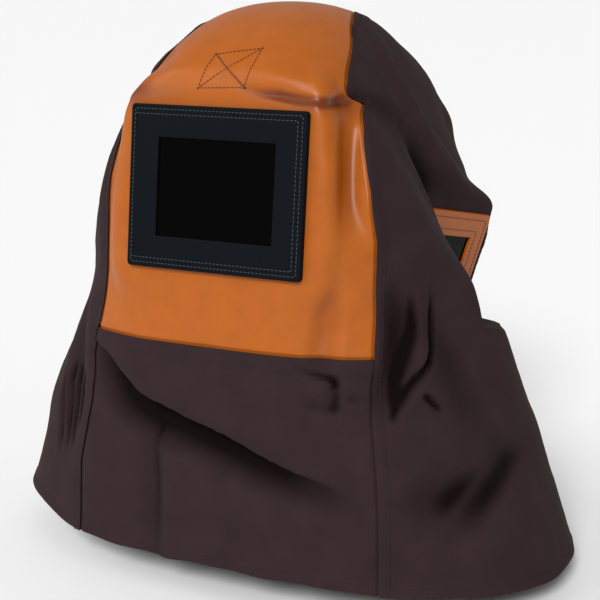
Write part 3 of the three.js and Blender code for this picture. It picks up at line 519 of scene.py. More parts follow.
def stretched(start, end, foot, top):
    def read(where, edge):
        return np.stack([np.interp(where, edge[0], edge[1][:, k]) for k in range(3)], -1)

    def evaluate(u, v):
        atFoot, atTop, atStart, atEnd = read(u, foot), read(u, top), read(v, start), read(v, end)
        u1, v1 = u[..., None], v[..., None]
        point = (atFoot * (1 - v1) + atTop * v1 + atStart * (1 - u1) + atEnd * u1
                 - foot[1][0] * (1 - u1) * (1 - v1) - top[1][0] * (1 - u1) * v1
                 - foot[1][-1] * u1 * (1 - v1) - top[1][-1] * u1 * v1)
        placed = facePoints(angleOf(point), point[..., 2])
        high = point[..., 2] > hood["turnHeight"]
        if high.any():
            origin = np.array([0, hood["turnDepth"], hood["turnHeight"]])
            ray = point[high] - origin
            ray /= np.linalg.norm(ray, axis=-1, keepdims=True)
            placed[high] = leaving(np.broadcast_to(origin, ray.shape), ray)
        for edge, values in ((v <= 0, atFoot), (v >= 1, atTop), (u <= 0, atStart), (u >= 1, atEnd)):
            placed = np.where(edge[..., None], values, placed)
        return placed
    return evaluate


shares = np.linspace(-1, 1, steps)
bibRow, leatherColumn, temple = gridCells["bib"], gridCells["leatherCrown"], gridCells["temple"]
chin = across(levelPoints(shares, np.full(steps, float(bibRow)), 0))
crownSeam = across(crownPoints(shares, np.full(steps, float(leatherColumn))))
leatherPart = stretched(joined(frontLine(-1, bibRow, frontCells), crownLine(-1, 0, leatherColumn)),
                        joined(frontLine(1, bibRow, frontCells), crownLine(1, 0, leatherColumn)),
                        chin, crownSeam)
bibPart = stretched(alone(frontLine(-1, 0, bibRow)), alone(frontLine(1, 0, bibRow)),
                    across(levelPoints(shares, np.zeros(steps), 0)), chin)
backPart = stretched(joined(rearLine(-1), crownLine(-1, crownCells, leatherColumn)),
                     joined(rearLine(1), crownLine(1, crownCells, leatherColumn)),
                     across(levelPoints(shares, np.zeros(steps), math.pi)), crownSeam)


def sidePart(side):
    turns = np.linspace(gridCells["templeTurn"], 180 - gridCells["templeTurn"], steps)
    half = lookUp(crownHalves, turns, side) * side
    top = panelPoints(half, hood["turnHeight"], np.radians(turns))
    front = joined(frontLine(side, 0, frontCells), crownLine(side, 0, temple))
    rear = joined(rearLine(side), crownLine(side, crownCells, crownCells - temple))
    angle = mix(angleOf(front[1][0]), angleOf(rear[1][0]), np.linspace(0, 1, steps))
    hem = facePoints(angle, hemHeight(angle))
    if side > 0:
        return stretched(rear, front, across(hem[::-1]), across(top[::-1]))
    return stretched(front, rear, across(hem), across(top))


def bump(distance, centre, width):
    return np.exp(-((distance - centre) / width) ** 2)


def noiseAt(points, scale, depth=2):
    flat = (points / scale).reshape(-1, 3)
    values = np.array([noise.fractal(Vector(point), 1.0, 2.0, depth) for point in flat.tolist()])
    return values.reshape(points.shape[:-1])


underLap = {"drop": 1.4, "slope": 3.0, "cloth": (1.5, 3, 4.5), "leather": (0.8, 1.6, 2.4)}
# wrinkles and creases fade out towards the flat seats and, in part, towards the seams
calming = {"seat": 12.0, "seam": 10.0, "left": 0.15, "softness": 2.0}
bandLook = {"width": 8.0, "rise": 0.8, "stitchAt": 7.0, "groove": 0.35, "round": 0.9, "sink": 0.4,
            "fall": 1.4, "grooveWidth": 0.8}


def bandLift(distance, look):
    edge = np.sqrt(np.clip(1 - (1 - np.clip(distance / look["round"], 0, 1)) ** 2, 0, 1)) - 1
    raised = look["rise"] * (1 - ease((distance - look["width"]) / look["fall"]))
    groove = look["groove"] * bump(distance, look["stitchAt"], look["grooveWidth"])
    return raised + edge * look["round"] * look["sink"] - groove


def makeObject(name, vertices, faces, scale=0.001):
    mesh = bpy.data.meshes.new(name)
    mesh.from_pydata((np.asarray(vertices) * scale).tolist(), [], faces)
    mesh.validate()
    piece = bpy.data.objects.new(name, mesh)
    bpy.context.scene.collection.objects.link(piece)
    return piece


def setUv(piece, uvs):
    layer = piece.data.uv_layers.new(name="cloth")
    corners = np.zeros(len(piece.data.loops), np.int32)
    piece.data.loops.foreach_get("vertex_index", corners)
    layer.data.foreach_set("uv", np.asarray(uvs, np.float32)[corners].ravel())


def smooth(piece, angle=40):
    piece.data.shade_smooth()
    piece.data.set_sharp_from_angle(angle=math.radians(angle))


def sheetPiece(name, outer, thick):
    rows, columns = outer.shape[:2]
    normal = gridNormals(outer)
    inner = outer - normal * thick
    count = rows * columns
    index = np.arange(count).reshape(rows, columns)
    faces = []

    def quads(a, b, c, d):
        faces.extend(np.stack([a.ravel(), b.ravel(), c.ravel(), d.ravel()], 1).tolist())
    quads(index[:-1, :-1], index[:-1, 1:], index[1:, 1:], index[1:, :-1])
    low = index + count
    quads(low[:-1, :-1], low[1:, :-1], low[1:, 1:], low[:-1, 1:])
    quads(index[0, 1:], index[0, :-1], low[0, :-1], low[0, 1:])
    quads(index[-1, :-1], index[-1, 1:], low[-1, 1:], low[-1, :-1])
    quads(index[:-1, 0], index[1:, 0], low[1:, 0], low[:-1, 0])
    quads(index[1:, -1], index[:-1, -1], low[:-1, -1], low[1:, -1])
    first = faces[0]
    a, b, c = (outer.reshape(-1, 3)[i] for i in first[:3])
    if np.dot(np.cross(b - a, c - a), normal.reshape(-1, 3)[first[0]]) < 0:
        faces = [face[::-1] for face in faces]
    walls = np.concatenate([outer.reshape(-1, 3), inner.reshape(-1, 3)])
    piece = makeObject(name, walls * worldScale, faces)
    uv = np.stack([walked(outer, 1), walked(outer, 0)], -1).reshape(-1, 2) / 1000
    setUv(piece, np.concatenate([uv, uv]))
    smooth(piece)
    return piece


def declare(piece, outer, **words):
    width = float(walked(outer, 1)[:, -1].max()) / 1000 * worldScale
    length = float(walked(outer, 0)[-1].max()) / 1000 * worldScale


solidBoxes = np.array([[list(corner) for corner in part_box(name)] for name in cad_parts])
worldScale = float(solidBoxes[..., 0].max() - solidBoxes[..., 0].min()) * 1000 / hood["drawnWidth"]
print("scale", worldScale)

panelGrids = {"leather": (130, 176), "bib": (140, 104), "back": (100, 170), "side": (190, 190)}
leatherBase = fineGrid(leatherPart, *panelGrids["leather"])
bibBase = fineGrid(bibPart, *panelGrids["bib"])
backBase = fineGrid(backPart, *panelGrids["back"])
sideBase = {side: fineGrid(sidePart(side), *panelGrids["side"]) for side in (1, -1)}
print("surfaces ready")

# small creases: angle, height, reach above or behind, reach below or in front, lift, in shares of these sizes
creaseReach, creaseLift = 10.0, 4.0
creaseTable = {
    "pinchAcross": [
        (24, -0.405, 0.5, 0.5, 0), (29.6, -0.417, 0.5, 0.4, -0.4), (34.5, -0.424, 0.6, 0.4, -0.75),
        (35.6, -0.434, 0.5, 0.4, -0.7)
    ],
    "pinchDown": [
        (35.3, -0.428, 0.5, 0.6, -0.4), (35.9, -0.45, 0.5, 0.7, -0.75), (35.9, -0.472, 0.5, 0.8, -0.5),
        (35.0, -0.487, 0.5, 0.6, 0)
    ],
    "pinchPuff": [
        (31, -0.43, 1.3, 1.1, 0.1), (32.5, -0.445, 1.4, 1.2, 0.6), (33, -0.462, 1.3, 1.0, 0.2)
    ],
    "pinchLow": [
        (28, -0.468, 0.4, 0.4, 0), (31, -0.47, 0.5, 0.5, -0.4), (35, -0.474, 0.5, 0.5, -0.3),
        (39, -0.468, 0.4, 0.5, 0)
    ],
    "pinchRight": [
        (37, -0.446, 0.5, 0.5, 0), (40, -0.455, 0.6, 0.6, -0.35), (43, -0.459, 0.5, 0.5, 0)
    ],
    "bibUpright": [
        (-20.5, -0.515, 0.3, 0.3, -0.1), (-20, -0.6, 0.35, 0.35, -0.3), (-20, -0.72, 0.35, 0.35, -0.2),
        (-20, -0.8, 0.3, 0.3, -0.1)
    ],
    "groove": [
        (7, 0.038, 0.7, 0.5, -0.1), (14.4, 0.031, 0.8, 0.5, -0.5), (19, 0.028, 0.9, 0.5, -0.8),
        (24.6, 0.022, 0.9, 0.5, -0.8), (31, 0.019, 0.8, 0.5, -0.7), (40.5, 0.016, 0.6, 0.5, -0.3)
    ],
    "pocketFront": [
        (54.4, -0.265, 0.5, 0.5, 0), (56, -0.344, 0.6, 0.6, -0.8), (53.1, -0.388, 0.6, 0.6, -0.9),
        (50.8, -0.428, 0.6, 0.6, -0.9), (49.5, -0.489, 0.5, 0.5, -0.3)
    ],
    "pocketRear": [
        (62.3, -0.262, 0.4, 0.4, 0), (63, -0.337, 0.5, 0.5, -0.9), (60.7, -0.396, 0.5, 0.5, -1.3),
        (54.1, -0.436, 0.5, 0.5, -1.3), (49.7, -0.489, 0.4, 0.4, -0.3)
    ],
    "sideNick": [
        (56.8, -0.452, 0.3, 0.3, 0), (57.5, -0.458, 0.4, 0.4, -0.9), (60.3, -0.479, 0.4, 0.4, -0.8),
        (61, -0.486, 0.3, 0.3, 0)
    ],
    "lowSweep": [
        (92, -0.575, 0.8, 1.0, 0), (84, -0.597, 1.0, 1.6, -0.5), (78, -0.61, 1.0, 1.8, -0.6),
        (69.1, -0.652, 1.0, 1.6, -0.5), (62, -0.7, 0.8, 1.0, 0)
    ],
    "secondSweep": [
        (69, -0.588, 0.7, 0.9, 0), (65, -0.613, 0.8, 1.4, -0.45), (61, -0.645, 0.8, 1.4, -0.45),
        (58, -0.668, 0.7, 0.9, 0)
    ],
    "rippleFirst": [
        (-48.5, -0.48, 0.35, 0.45, 0), (-48.5, -0.53, 0.4, 0.5, -0.9), (-48, -0.6, 0.35, 0.45, 0)
    ],
    "rippleSecond": [
        (-52, -0.47, 0.35, 0.45, 0), (-53, -0.52, 0.4, 0.5, -1.1), (-51.5, -0.58, 0.4, 0.5, -1.1),
        (-50, -0.64, 0.35, 0.45, 0)
    ],
    "rippleThird": [
        (-56, -0.475, 0.35, 0.45, 0), (-57.3, -0.52, 0.4, 0.5, -1.1), (-55.3, -0.58, 0.4, 0.5, -1.2),
        (-53, -0.65, 0.35, 0.45, 0)
    ],
    "rippleFourth": [
        (-60, -0.49, 0.35, 0.45, 0), (-61, -0.54, 0.4, 0.5, -0.9), (-59, -0.6, 0.4, 0.5, -1.0),
        (-57, -0.66, 0.35, 0.45, 0)
    ],
}
# cloth that hangs over the fold under it: the same columns, with the last one as the way down
hangTable = {
    "bibHang": [
        (-40, -0.415, 0.9, 0.9, 0), (-31, -0.445, 1.0, 0.9, 0.9), (-25, -0.482, 1.1, 0.9, 1.3),
        (-10, -0.508, 1.1, 0.9, 1.3), (7, -0.535, 1.1, 0.9, 1.3), (22, -0.57, 1.0, 0.9, 1.1),
        (32, -0.595, 0.9, 0.8, 0.8), (40, -0.625, 0.8, 0.7, 0)
    ],
}


def creasePaths(table):
    paths = {name: foldPoints(path) for name, path in table.items()}
    for points in paths.values():
        points[:, 2:4] *= creaseReach / hood["foldReach"]
        points[:, 4] *= creaseLift / hood["foldLift"]
    return paths


creases, hangs = creasePaths(creaseTable), creasePaths(hangTable)


def edgeDistances(points):
    alongU, alongV = walked(points, 1), walked(points, 0)
    return {"left": alongU, "right": alongU[:, -1:] - alongU,
            "bottom": alongV, "top": alongV[-1:] - alongV}


def dressed(points, bands, dips, wrinkle, reach=underLap["cloth"]):
    normal = gridNormals(points)
    away = edgeDistances(points)
    lift = np.zeros(points.shape[:2])
    for edge, look in bands.items():
        lift = lift + bandLift(away[edge], look)
    for edge in dips:
        lift = lift - underLap["drop"] * (1 - ease(away[edge] / underLap["slope"]))
    still = np.ones(points.shape[:2])
    for seat in seats.values():
        offset = points - seat["centre"]
        over = np.maximum(np.abs(offset @ seat["across"]) - seat["halfWidth"],
                          np.abs(offset @ seat["up"]) - seat["halfHeight"])
        near = np.abs(offset @ seat["normal"]) < calming["seat"]
        still = np.where(near, np.minimum(still, ease(over / calming["seat"])), still)
    calm = still * ease(np.minimum.reduce(list(away.values())) / calming["seam"] + calming["left"])
    for size, amount in wrinkle:
        lift = lift + noiseAt(points, size) * amount * calm
    x, z = angleOf(points) * hood["foldRadius"], points[..., 2]
    for path in creases.values():
        lift = lift + pathLift(path, x, z, calming["softness"]) * still
    laid = points + normal * lift[..., None]
    down = normal * normal[..., 2:] - [0, 0, 1]
    for path in hangs.values():
        laid = laid + down * (pathLift(path, x, z, calming["softness"]) * calm)[..., None]
    for edge, axis, end in (("left", 1, 0), ("right", 1, -1), ("bottom", 0, 0), ("top", 0, -1)):
        if edge in dips:
            rim = np.take(laid, end, axis)
            out = np.take(points, end, axis) - np.take(points, 3 if end == 0 else -4, axis)
            out /= np.linalg.norm(out, axis=-1, keepdims=True)
            lap = np.stack([rim + out * step for step in reach], axis)
            laid = np.concatenate([np.flip(lap, axis), laid] if end == 0 else [laid, lap], axis)
            grown = np.repeat(np.expand_dims(np.take(points, end, axis), axis), len(reach), axis)
            points = np.concatenate([grown, points] if end == 0 else [points, grown], axis)
    return laid


hemLook = dict(bandLook, width=8.5, rise=0.55, stitchAt=7.0)
topBandLook = dict(bandLook, width=12.0, rise=0.9, stitchAt=10.2)
clothWrinkle = ((70, 1.6), (26, 0.55), (9, 0.12))
leatherWrinkle = ((60, 0.8), (22, 0.2))
panels = {
    "leather_front": dressed(
        leatherBase, {}, ("left", "right", "bottom", "top"), leatherWrinkle, underLap["leather"]),
    "bib_cloth": dressed(
        bibBase, {"bottom": hemLook, "top": topBandLook}, ("left", "right"), clothWrinkle),
    "back_cloth": dressed(backBase, {"bottom": hemLook}, ("left", "right"), clothWrinkle),
}
for side, word in ((1, "left"), (-1, "right")):
    sideBands = {"bottom": hemLook, "left": bandLook, "right": bandLook, "top": bandLook}
    panels["side_cloth_" + word] = dressed(sideBase[side], sideBands, (), clothWrinkle)


# depths at which a fold and a crease get their full painted shade: valleys are given a darker colour that
# stands in for the shade falling in them
paintedShadeDepths = {"fold": 12.0, "crease": 3.0, "power": 1.3}


def foldShadeDepth(points):
    x, z = angleOf(points) * hood["foldRadius"], points[..., 2]
    depth = np.zeros(points.shape[:2])
    for both, path in foldPaths.values():
        depth = depth - pathLift(path, x, z) / paintedShadeDepths["fold"]
        if both:
            depth = depth - pathLift(path, -x, z) / paintedShadeDepths["fold"]
    for path in creases.values():
        depth = depth - pathLift(path, x, z, calming["softness"]) / paintedShadeDepths["crease"]
    return np.clip(depth, 0, 1) ** paintedShadeDepths["power"]


# painted shade: each panel gets a 'fold' attribute from its fold and crease valley depths, which darkens its
# colour where shade falls in the folds
made = {}
for name, points in panels.items():
    thick = hood["leatherThick" if name == "leather_front" else "clothThick"]
    made[name] = sheetPiece(name, points, thick)
    depth = foldShadeDepth(points).ravel().astype(np.float32)
    tone = made[name].data.attributes.new("fold", "FLOAT", "POINT")
    tone.data.foreach_set("value", np.concatenate([depth, depth]))
print("sheets ready")

stands = {
    "leather_front": ("front_leather_panel", "orange_leather"),
    "bib_cloth": ("bib_panel", "brown_cloth"),
    "back_cloth": ("back_panel", "brown_cloth"),
    "side_cloth_left": ("side_panel_left", "brown_cloth"),
    "side_cloth_right": ("side_panel_right", "brown_cloth"),
}


# surrounds of the windows
def boxPiece(seat, width, height, lowest, highest):
    corners = [
        seat["centre"] + seat["across"] * x * width / 2 + seat["up"] * y * height / 2 + seat["normal"] * n
        for n in (lowest, highest) for y in (-1, 1) for x in (-1, 1)]
    faces = [(0, 2, 3, 1), (4, 5, 7, 6), (0, 1, 5, 4), (2, 6, 7, 3), (0, 4, 6, 2), (1, 3, 7, 5)]
    if np.dot(np.cross(seat["across"], seat["up"]), seat["normal"]) < 0:
        faces = [face[::-1] for face in faces]
    return makeObject("cutter", np.array(corners) * worldScale, faces)


def cut(piece, cutter):
    modifier = piece.modifiers.new("opening", "BOOLEAN")
    modifier.operation = "DIFFERENCE"
    modifier.object = cutter
    modifier.solver = "EXACT"
    solid = bpy.data.meshes.new_from_object(piece.evaluated_get(bpy.context.evaluated_depsgraph_get()))
    piece.modifiers.clear()
    piece.data = solid
    bpy.data.objects.remove(cutter)
    smooth(piece)


sideSeats = {"left": seats["left"], "right": seats["right"]}
sideSize = dict(sideWindow, openWidth=sideWindow["width"] - 2 * sideWindow["band"],
                openHeight=sideWindow["height"] - 2 * sideWindow["band"])
cutReach = 12


def opening(seat, size, past):
    return boxPiece(seat, size["openWidth"] + past, size["openHeight"] + past, -cutReach, cutReach)


cut(made["leather_front"], opening(seats["front"], frontWindow, 8))
for word, seat in sideSeats.items():
    cut(made["side_cloth_" + word], opening(seat, sideSize, 6))


def onSeat(seat, flat, level):
    flat = np.array(flat, float)
    return (seat["centre"] + flat[:, :1] * seat["across"] + flat[:, 1:] * seat["up"]
            + level * seat["normal"])


def roundedLoop(halfWidth, halfHeight, radius, corner=7, edge=26):
    points = []
    radius = max(radius, 0.05)
    centres = [(halfWidth - radius, halfHeight - radius), (-halfWidth + radius, halfHeight - radius),
               (-halfWidth + radius, -halfHeight + radius), (halfWidth - radius, -halfHeight + radius)]
    for quarter, (cx, cy) in enumerate(centres):
        arc = [math.radians(90 * quarter + 90 * k / (corner - 1)) for k in range(corner)]
        points += [(cx + radius * math.cos(a), cy + radius * math.sin(a)) for a in arc]
        nx, ny = centres[(quarter + 1) % 4]
        a = math.radians(90 * (quarter + 1))
        start = np.array([cx + radius * math.cos(a), cy + radius * math.sin(a)])
        end = np.array([nx + radius * math.cos(a), ny + radius * math.sin(a)])
        points += [tuple(mix(start, end, (k + 1) / (edge + 1))) for k in range(edge)]
    return np.array(points)


# a surround is a closed row of rounded loops: back edge, rounded rim, face with grooves, aperture and recess
def framePiece(name, seat, size, stitchLines, pane, paneThick):
    width, height = size["width"] / 2, size["height"] / 2
    openW, openH = size["openWidth"] / 2, size["openHeight"] / 2
    thick, gap, corner = size["thick"], size["gap"], size["cornerRadius"]
    band = width - openW
    steps = [0, 0.25, 0.7, 1.3, 2.2]
    for line in stitchLines:
        steps += [line - 0.8, line - 0.4, line, line + 0.4, line + 0.8]
    steps += list(np.linspace(max(steps) + 2, band - 3, 6))
    rings = [(width, height, corner, gap), (width, height, corner, gap + thick * 0.45)]
    for d in sorted(set(steps)):
        rise = thick - 1.1 * (1 - math.sqrt(max(0, 1 - max(0, 1 - d / 1.6) ** 2)))
        rise -= sum(0.16 * math.exp(-((d - line) / 0.5) ** 2) for line in stitchLines)
        rings.append((width - d, height - d, max(corner - d, 0.6), gap + rise))
    for d, drop in ((1.2, 0.0), (0.6, 0.10), (0.2, 0.35), (0, 0.8)):
        rings.append((openW + d, openH + d, 0.8 + d, gap + thick - drop))
    front = gap + paneThick + 0.3
    rings += [(openW, openH, 0.8, front), (pane[0] / 2 + 0.3, pane[1] / 2 + 0.3, 0.8, front),
              (pane[0] / 2 + 0.3, pane[1] / 2 + 0.3, 0.8, gap)]
    loops = []
    for halfWidth, halfHeight, radius, level in rings:
        flat = roundedLoop(halfWidth, halfHeight, radius)
        loops.append(onSeat(seat, flat, level))
    around = len(loops[0])
    faces = []
    for i in range(len(loops)):
        after = (i + 1) % len(loops)
        faces += [(i * around + k, i * around + (k + 1) % around, after * around + (k + 1) % around,
                   after * around + k) for k in range(around)]
    if np.dot(np.cross(seat["across"], seat["up"]), seat["normal"]) < 0:
        faces = [face[::-1] for face in faces]
    piece = makeObject(name, np.concatenate(loops) * worldScale, faces)
    smooth(piece, 50)
    return piece


frontStitches, sideStitches = (3.6, 7.4), (5.5, 16.0)
made["filter_surround"] = framePiece(
    "filter_surround", seats["front"], frontWindow, frontStitches, (110, 90), 3)
stands["filter_surround"] = ("window_frame", "black_leather")
for word, seat in sideSeats.items():
    name = "side_surround_" + word
    pane = (sideSize["openWidth"] + 8, sideSize["openHeight"] + 8)
    made[name] = framePiece(name, seat, sideSize, sideStitches, pane, 2)
    stands[name] = ("side_window_frame_" + word, "orange_leather")
print("surrounds ready")

# bump cap
cap = {
    "halfWidth": 93.0, "front": 120.0, "back": 111.0, "centre": -15.0, "lean": -10.0, "rise": 69.0,
    "thick": 2.6, "squareness": 2.2, "bandThick": 3.0, "bandTop": 0.28, "gap": 0.3, "around": 120,
}


def capPoints(angle, share, inset):
    c, s = np.cos(angle), np.sin(angle)
    depth = np.where(c > 0, cap["front"], cap["back"]) - inset
    k = cap["squareness"]
    radius = ((np.abs(c / depth) ** k + np.abs(s / (cap["halfWidth"] - inset)) ** k) ** (-1 / k)
              * (1 - share ** k) ** (1 / k))
    return np.stack([radius * s, cap["centre"] + cap["lean"] * share - radius * c,
                     share * (cap["rise"] - inset)], -1)


def turnedIn(points, faces):
    a, b, c = (points[[face[k] for face in faces]] - points.mean(0) for k in range(3))
    return (a * np.cross(b, c)).sum() < 0


def turned(name, rings, tops=None):
    around = rings.shape[1]
    points = rings.reshape(-1, 3)
    faces = [(i * around + k, i * around + (k + 1) % around, (i + 1) * around + (k + 1) % around,
              (i + 1) * around + k) for i in range(len(rings) - 1) for k in range(around)]
    if tops is None:
        last = (len(rings) - 1) * around
        faces += [(last + k, last + (k + 1) % around, (k + 1) % around, k) for k in range(around)]
    else:
        points = np.concatenate([points, tops])
        last = (len(rings) - 1) * around
        faces += [((k + 1) % around, k, len(points) - 2) for k in range(around)]
        faces += [(last + k, last + (k + 1) % around, len(points) - 1) for k in range(around)]
    piece = makeObject(name, points * worldScale, faces)
    if turnedIn(points, faces):
        piece.data.flip_normals()
    smooth(piece, 45)
    return piece


def capRings(shares, inset):
    angles = np.linspace(0, 2 * math.pi, cap["around"], endpoint=False)
    return np.array([capPoints(angles, np.full(cap["around"], share), inset) for share in shares])


rises = np.sin(np.linspace(0, math.pi / 2, 26))[:-1]
inside, outside = capRings(rises[::-1], cap["thick"]), capRings(rises, 0)
rim = np.array([mix(inside[-1], outside[0], t) - [0, 0, 0.8 * math.sin(math.pi * t)]
                for t in (0.25, 0.5, 0.75)])
topInside = [0, cap["centre"] + cap["lean"], cap["rise"] - cap["thick"]]
topOutside = [0, cap["centre"] + cap["lean"], cap["rise"]]
made["cap_shell"] = turned("cap_shell", np.concatenate([inside, rim, outside]), [topInside, topOutside])
stands["cap_shell"] = ("bump_cap_shell", "cap_plastic")
inset = cap["thick"] + cap["gap"]
outerBand = capRings(np.linspace(0, cap["bandTop"], 10), inset)
centre = np.array([0, cap["centre"], 0])
bulge = np.sin(np.linspace(0, math.pi, 10)) ** 0.5 * 0.8 + 0.2
innerBand = []
for ring, full in zip(outerBand[::-1], bulge):
    out = (ring - centre) * [1, 1, 0]
    innerBand.append(ring - out / np.linalg.norm(out, axis=1, keepdims=True) * cap["bandThick"] * full)
made["cap_headband"] = turned("cap_headband", np.concatenate([outerBand, np.array(innerBand)]))
stands["cap_headband"] = ("bump_cap_headband", "sweatband")


def insideCap(points):
    k = cap["squareness"]
    y = points[..., 1] - cap["centre"] - cap["lean"] * points[..., 2] / cap["rise"]
    depth = np.where(y < 0, cap["front"], cap["back"])
    return (np.abs(y / depth) ** k + np.abs(points[..., 0] / cap["halfWidth"]) ** k
            + np.abs(points[..., 2] / cap["rise"]) ** k) < 1


def padPiece():
    low, high = (Vector(corner) * 1000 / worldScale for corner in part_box("cap_pad"))
    x = np.linspace(low.x + 1, high.x - 1, 24)
    turns = np.radians(np.linspace(*padTurns, 20))
    xs, ts = np.meshgrid(x, turns)
    face = panelPoints(xs, hood["turnHeight"], ts)
    normal = gridNormals(face)
    near = face - normal * (hood["leatherThick"] + 1.3)
    depth = np.zeros(xs.shape)
    for _ in range(240):
        depth = np.where(insideCap(near - normal * depth[..., None]), depth, depth + 0.05)
    depth = np.maximum(depth - 0.35, 0.4)
    edges = [xs - x[0], x[-1] - xs, (ts - turns[0]) * 120, (turns[-1] - ts) * 120]
    rim = ease(np.minimum.reduce(edges) / 2)
    near = near - normal * (0.3 * (1 - rim) * depth)[..., None]
    count = near.shape[0] * near.shape[1]
    far = near - normal * (depth * (0.6 + 0.4 * rim))[..., None]
    index = np.arange(count).reshape(near.shape[:2])
    faces = []
    for grid, turn in ((index, 1), (index + count, -1)):
        quads = np.stack([grid[:-1, :-1], grid[:-1, 1:], grid[1:, 1:], grid[1:, :-1]], -1)
        faces += [tuple(quad[::turn]) for quad in quads.reshape(-1, 4).tolist()]
    ring = list(index[0, :]) + list(index[1:, -1]) + list(index[-1, -2::-1]) + list(index[-2:0:-1, 0])
    faces += [(ring[(k + 1) % len(ring)], ring[k], ring[k] + count, ring[(k + 1) % len(ring)] + count)
              for k in range(len(ring))]
    points = np.concatenate([near.reshape(-1, 3), far.reshape(-1, 3)])
    if turnedIn(points, faces):
        faces = [face[::-1] for face in faces]
    piece = makeObject("cap_pad_cloth", points * worldScale, faces)
    smooth(piece, 50)
    return piece


padTurns = (18, 38)
made["cap_pad_cloth"] = padPiece()
stands["cap_pad_cloth"] = ("cap_pad", "sweatband")
print("cap ready")

# materials
def newMaterial(name, color, roughness, **inputs):
    material = bpy.data.materials.new(name)
    material.use_nodes = True
    shader = material.node_tree.nodes["Principled BSDF"]
    shader.inputs["Base Color"].default_value = (*color, 1)
    shader.inputs["Roughness"].default_value = roughness
    for key, value in inputs.items():
        shader.inputs[key.replace("_", " ")].default_value = value
    return material, shader


# stitching: each run is a line of points in millimetres, open or closed, that carries short threads
thread = {"pitch": 0.0033, "length": 0.0026, "radius": 0.00034, "lift": 0.12}


def stitchGroup():
    group = bpy.data.node_groups.new("stitchRun", "GeometryNodeTree")
    face = group.interface
    face.new_socket("Geometry", in_out="INPUT", socket_type="NodeSocketGeometry")
    for label in ("Pitch", "Length", "Radius"):
        face.new_socket(label, in_out="INPUT", socket_type="NodeSocketFloat")
    face.new_socket("Material", in_out="INPUT", socket_type="NodeSocketMaterial")
    face.new_socket("Geometry", in_out="OUTPUT", socket_type="NodeSocketGeometry")
    node, link = group.nodes.new, group.links.new
    start, end = node("NodeGroupInput"), node("NodeGroupOutput")
    curve = node("GeometryNodeMeshToCurve")
    even = node("GeometryNodeResampleCurve")
    even.mode = "LENGTH"
    grain = node("GeometryNodeMeshUVSphere")
    grain.inputs["Segments"].default_value = 8
    grain.inputs["Rings"].default_value = 5
    half = node("ShaderNodeMath")
    half.operation = "MULTIPLY"
    half.inputs[1].default_value = 0.5
    size = node("ShaderNodeCombineXYZ")
    shape = node("GeometryNodeTransform")
    tangent = node("GeometryNodeInputTangent")
    turn = node("FunctionNodeAlignRotationToVector")
    turn.axis = "X"
    place = node("GeometryNodeInstanceOnPoints")
    real = node("GeometryNodeRealizeInstances")
    paint = node("GeometryNodeSetMaterial")
    link(start.outputs["Geometry"], curve.inputs["Mesh"])
    link(curve.outputs["Curve"], even.inputs["Curve"])
    link(start.outputs["Pitch"], even.inputs["Length"])
    link(start.outputs["Length"], half.inputs[0])
    link(half.outputs[0], size.inputs["X"])
    link(start.outputs["Radius"], size.inputs["Y"])
    link(start.outputs["Radius"], size.inputs["Z"])
    grain.inputs["Radius"].default_value = 1.0
    link(grain.outputs["Mesh"], shape.inputs["Geometry"])
    link(size.outputs["Vector"], shape.inputs["Scale"])
    link(tangent.outputs["Tangent"], turn.inputs["Vector"])
    link(even.outputs["Curve"], place.inputs["Points"])
    link(shape.outputs["Geometry"], place.inputs["Instance"])
    link(turn.outputs["Rotation"], place.inputs["Rotation"])
    link(place.outputs["Instances"], real.inputs["Geometry"])
    link(real.outputs["Geometry"], paint.inputs["Geometry"])
    link(start.outputs["Material"], paint.inputs["Material"])
    link(paint.outputs["Geometry"], end.inputs["Geometry"])
    return group


stitchTree = stitchGroup()


def stitched(name, runs, material, **sizes):
    points, edges = [], []
    for line, closed in runs:
        first = len(points)
        points += (np.asarray(line) * worldScale * 0.001).tolist()
        edges += [(first + k, first + k + 1) for k in range(len(line) - 1)]
        if closed:
            edges.append((first + len(line) - 1, first))
    mesh = bpy.data.meshes.new(name)
    mesh.from_pydata(points, edges, [])
    piece = bpy.data.objects.new(name, mesh)
    bpy.context.scene.collection.objects.link(piece)
    modifier = piece.modifiers.new("stitches", "NODES")
    modifier.node_group = stitchTree
    values = dict(Pitch=thread["pitch"], Length=thread["length"], Radius=thread["radius"], Material=material)
    values.update(sizes)
    for item in stitchTree.interface.items_tree:
        if item.in_out == "INPUT" and item.name in values:
            modifier[item.identifier] = values[item.name]
    solid = bpy.data.meshes.new_from_object(piece.evaluated_get(bpy.context.evaluated_depsgraph_get()))
    piece.modifiers.clear()
    piece.data = solid
    solid.shade_smooth()
    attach(piece, "root")
    return piece


def raisedLine(points, normals):
    return points + normals * thread["lift"]


def panelRuns(name, wanted, laps=0):
    points = panels[name][:, laps:-laps] if laps else panels[name]
    normals = gridNormals(points)
    lifted = raisedLine(points, normals)
    runs = []
    for edge, look in wanted:
        k = int(np.argmin(np.abs(nearEdge - look["stitchAt"])))
        runs.append(({"left": lifted[:, k], "right": lifted[:, -1 - k], "bottom": lifted[k],
                      "top": lifted[-1 - k]}[edge], False))
    return runs


def loopOn(seat, halfWidth, halfHeight, level):
    return onSeat(seat, roundedLoop(halfWidth, halfHeight, 2.0), level)


def onLeather(start, end, count=16):
    line = mix(np.array(start, float), np.array(end, float), np.linspace(0, 1, count)[:, None])
    origin = np.array([0, hood["turnDepth"], hood["turnHeight"]])
    ray = line - origin
    ray /= np.linalg.norm(ray, axis=-1, keepdims=True)
    return leaving(np.broadcast_to(origin, ray.shape), ray) + ray * 0.5


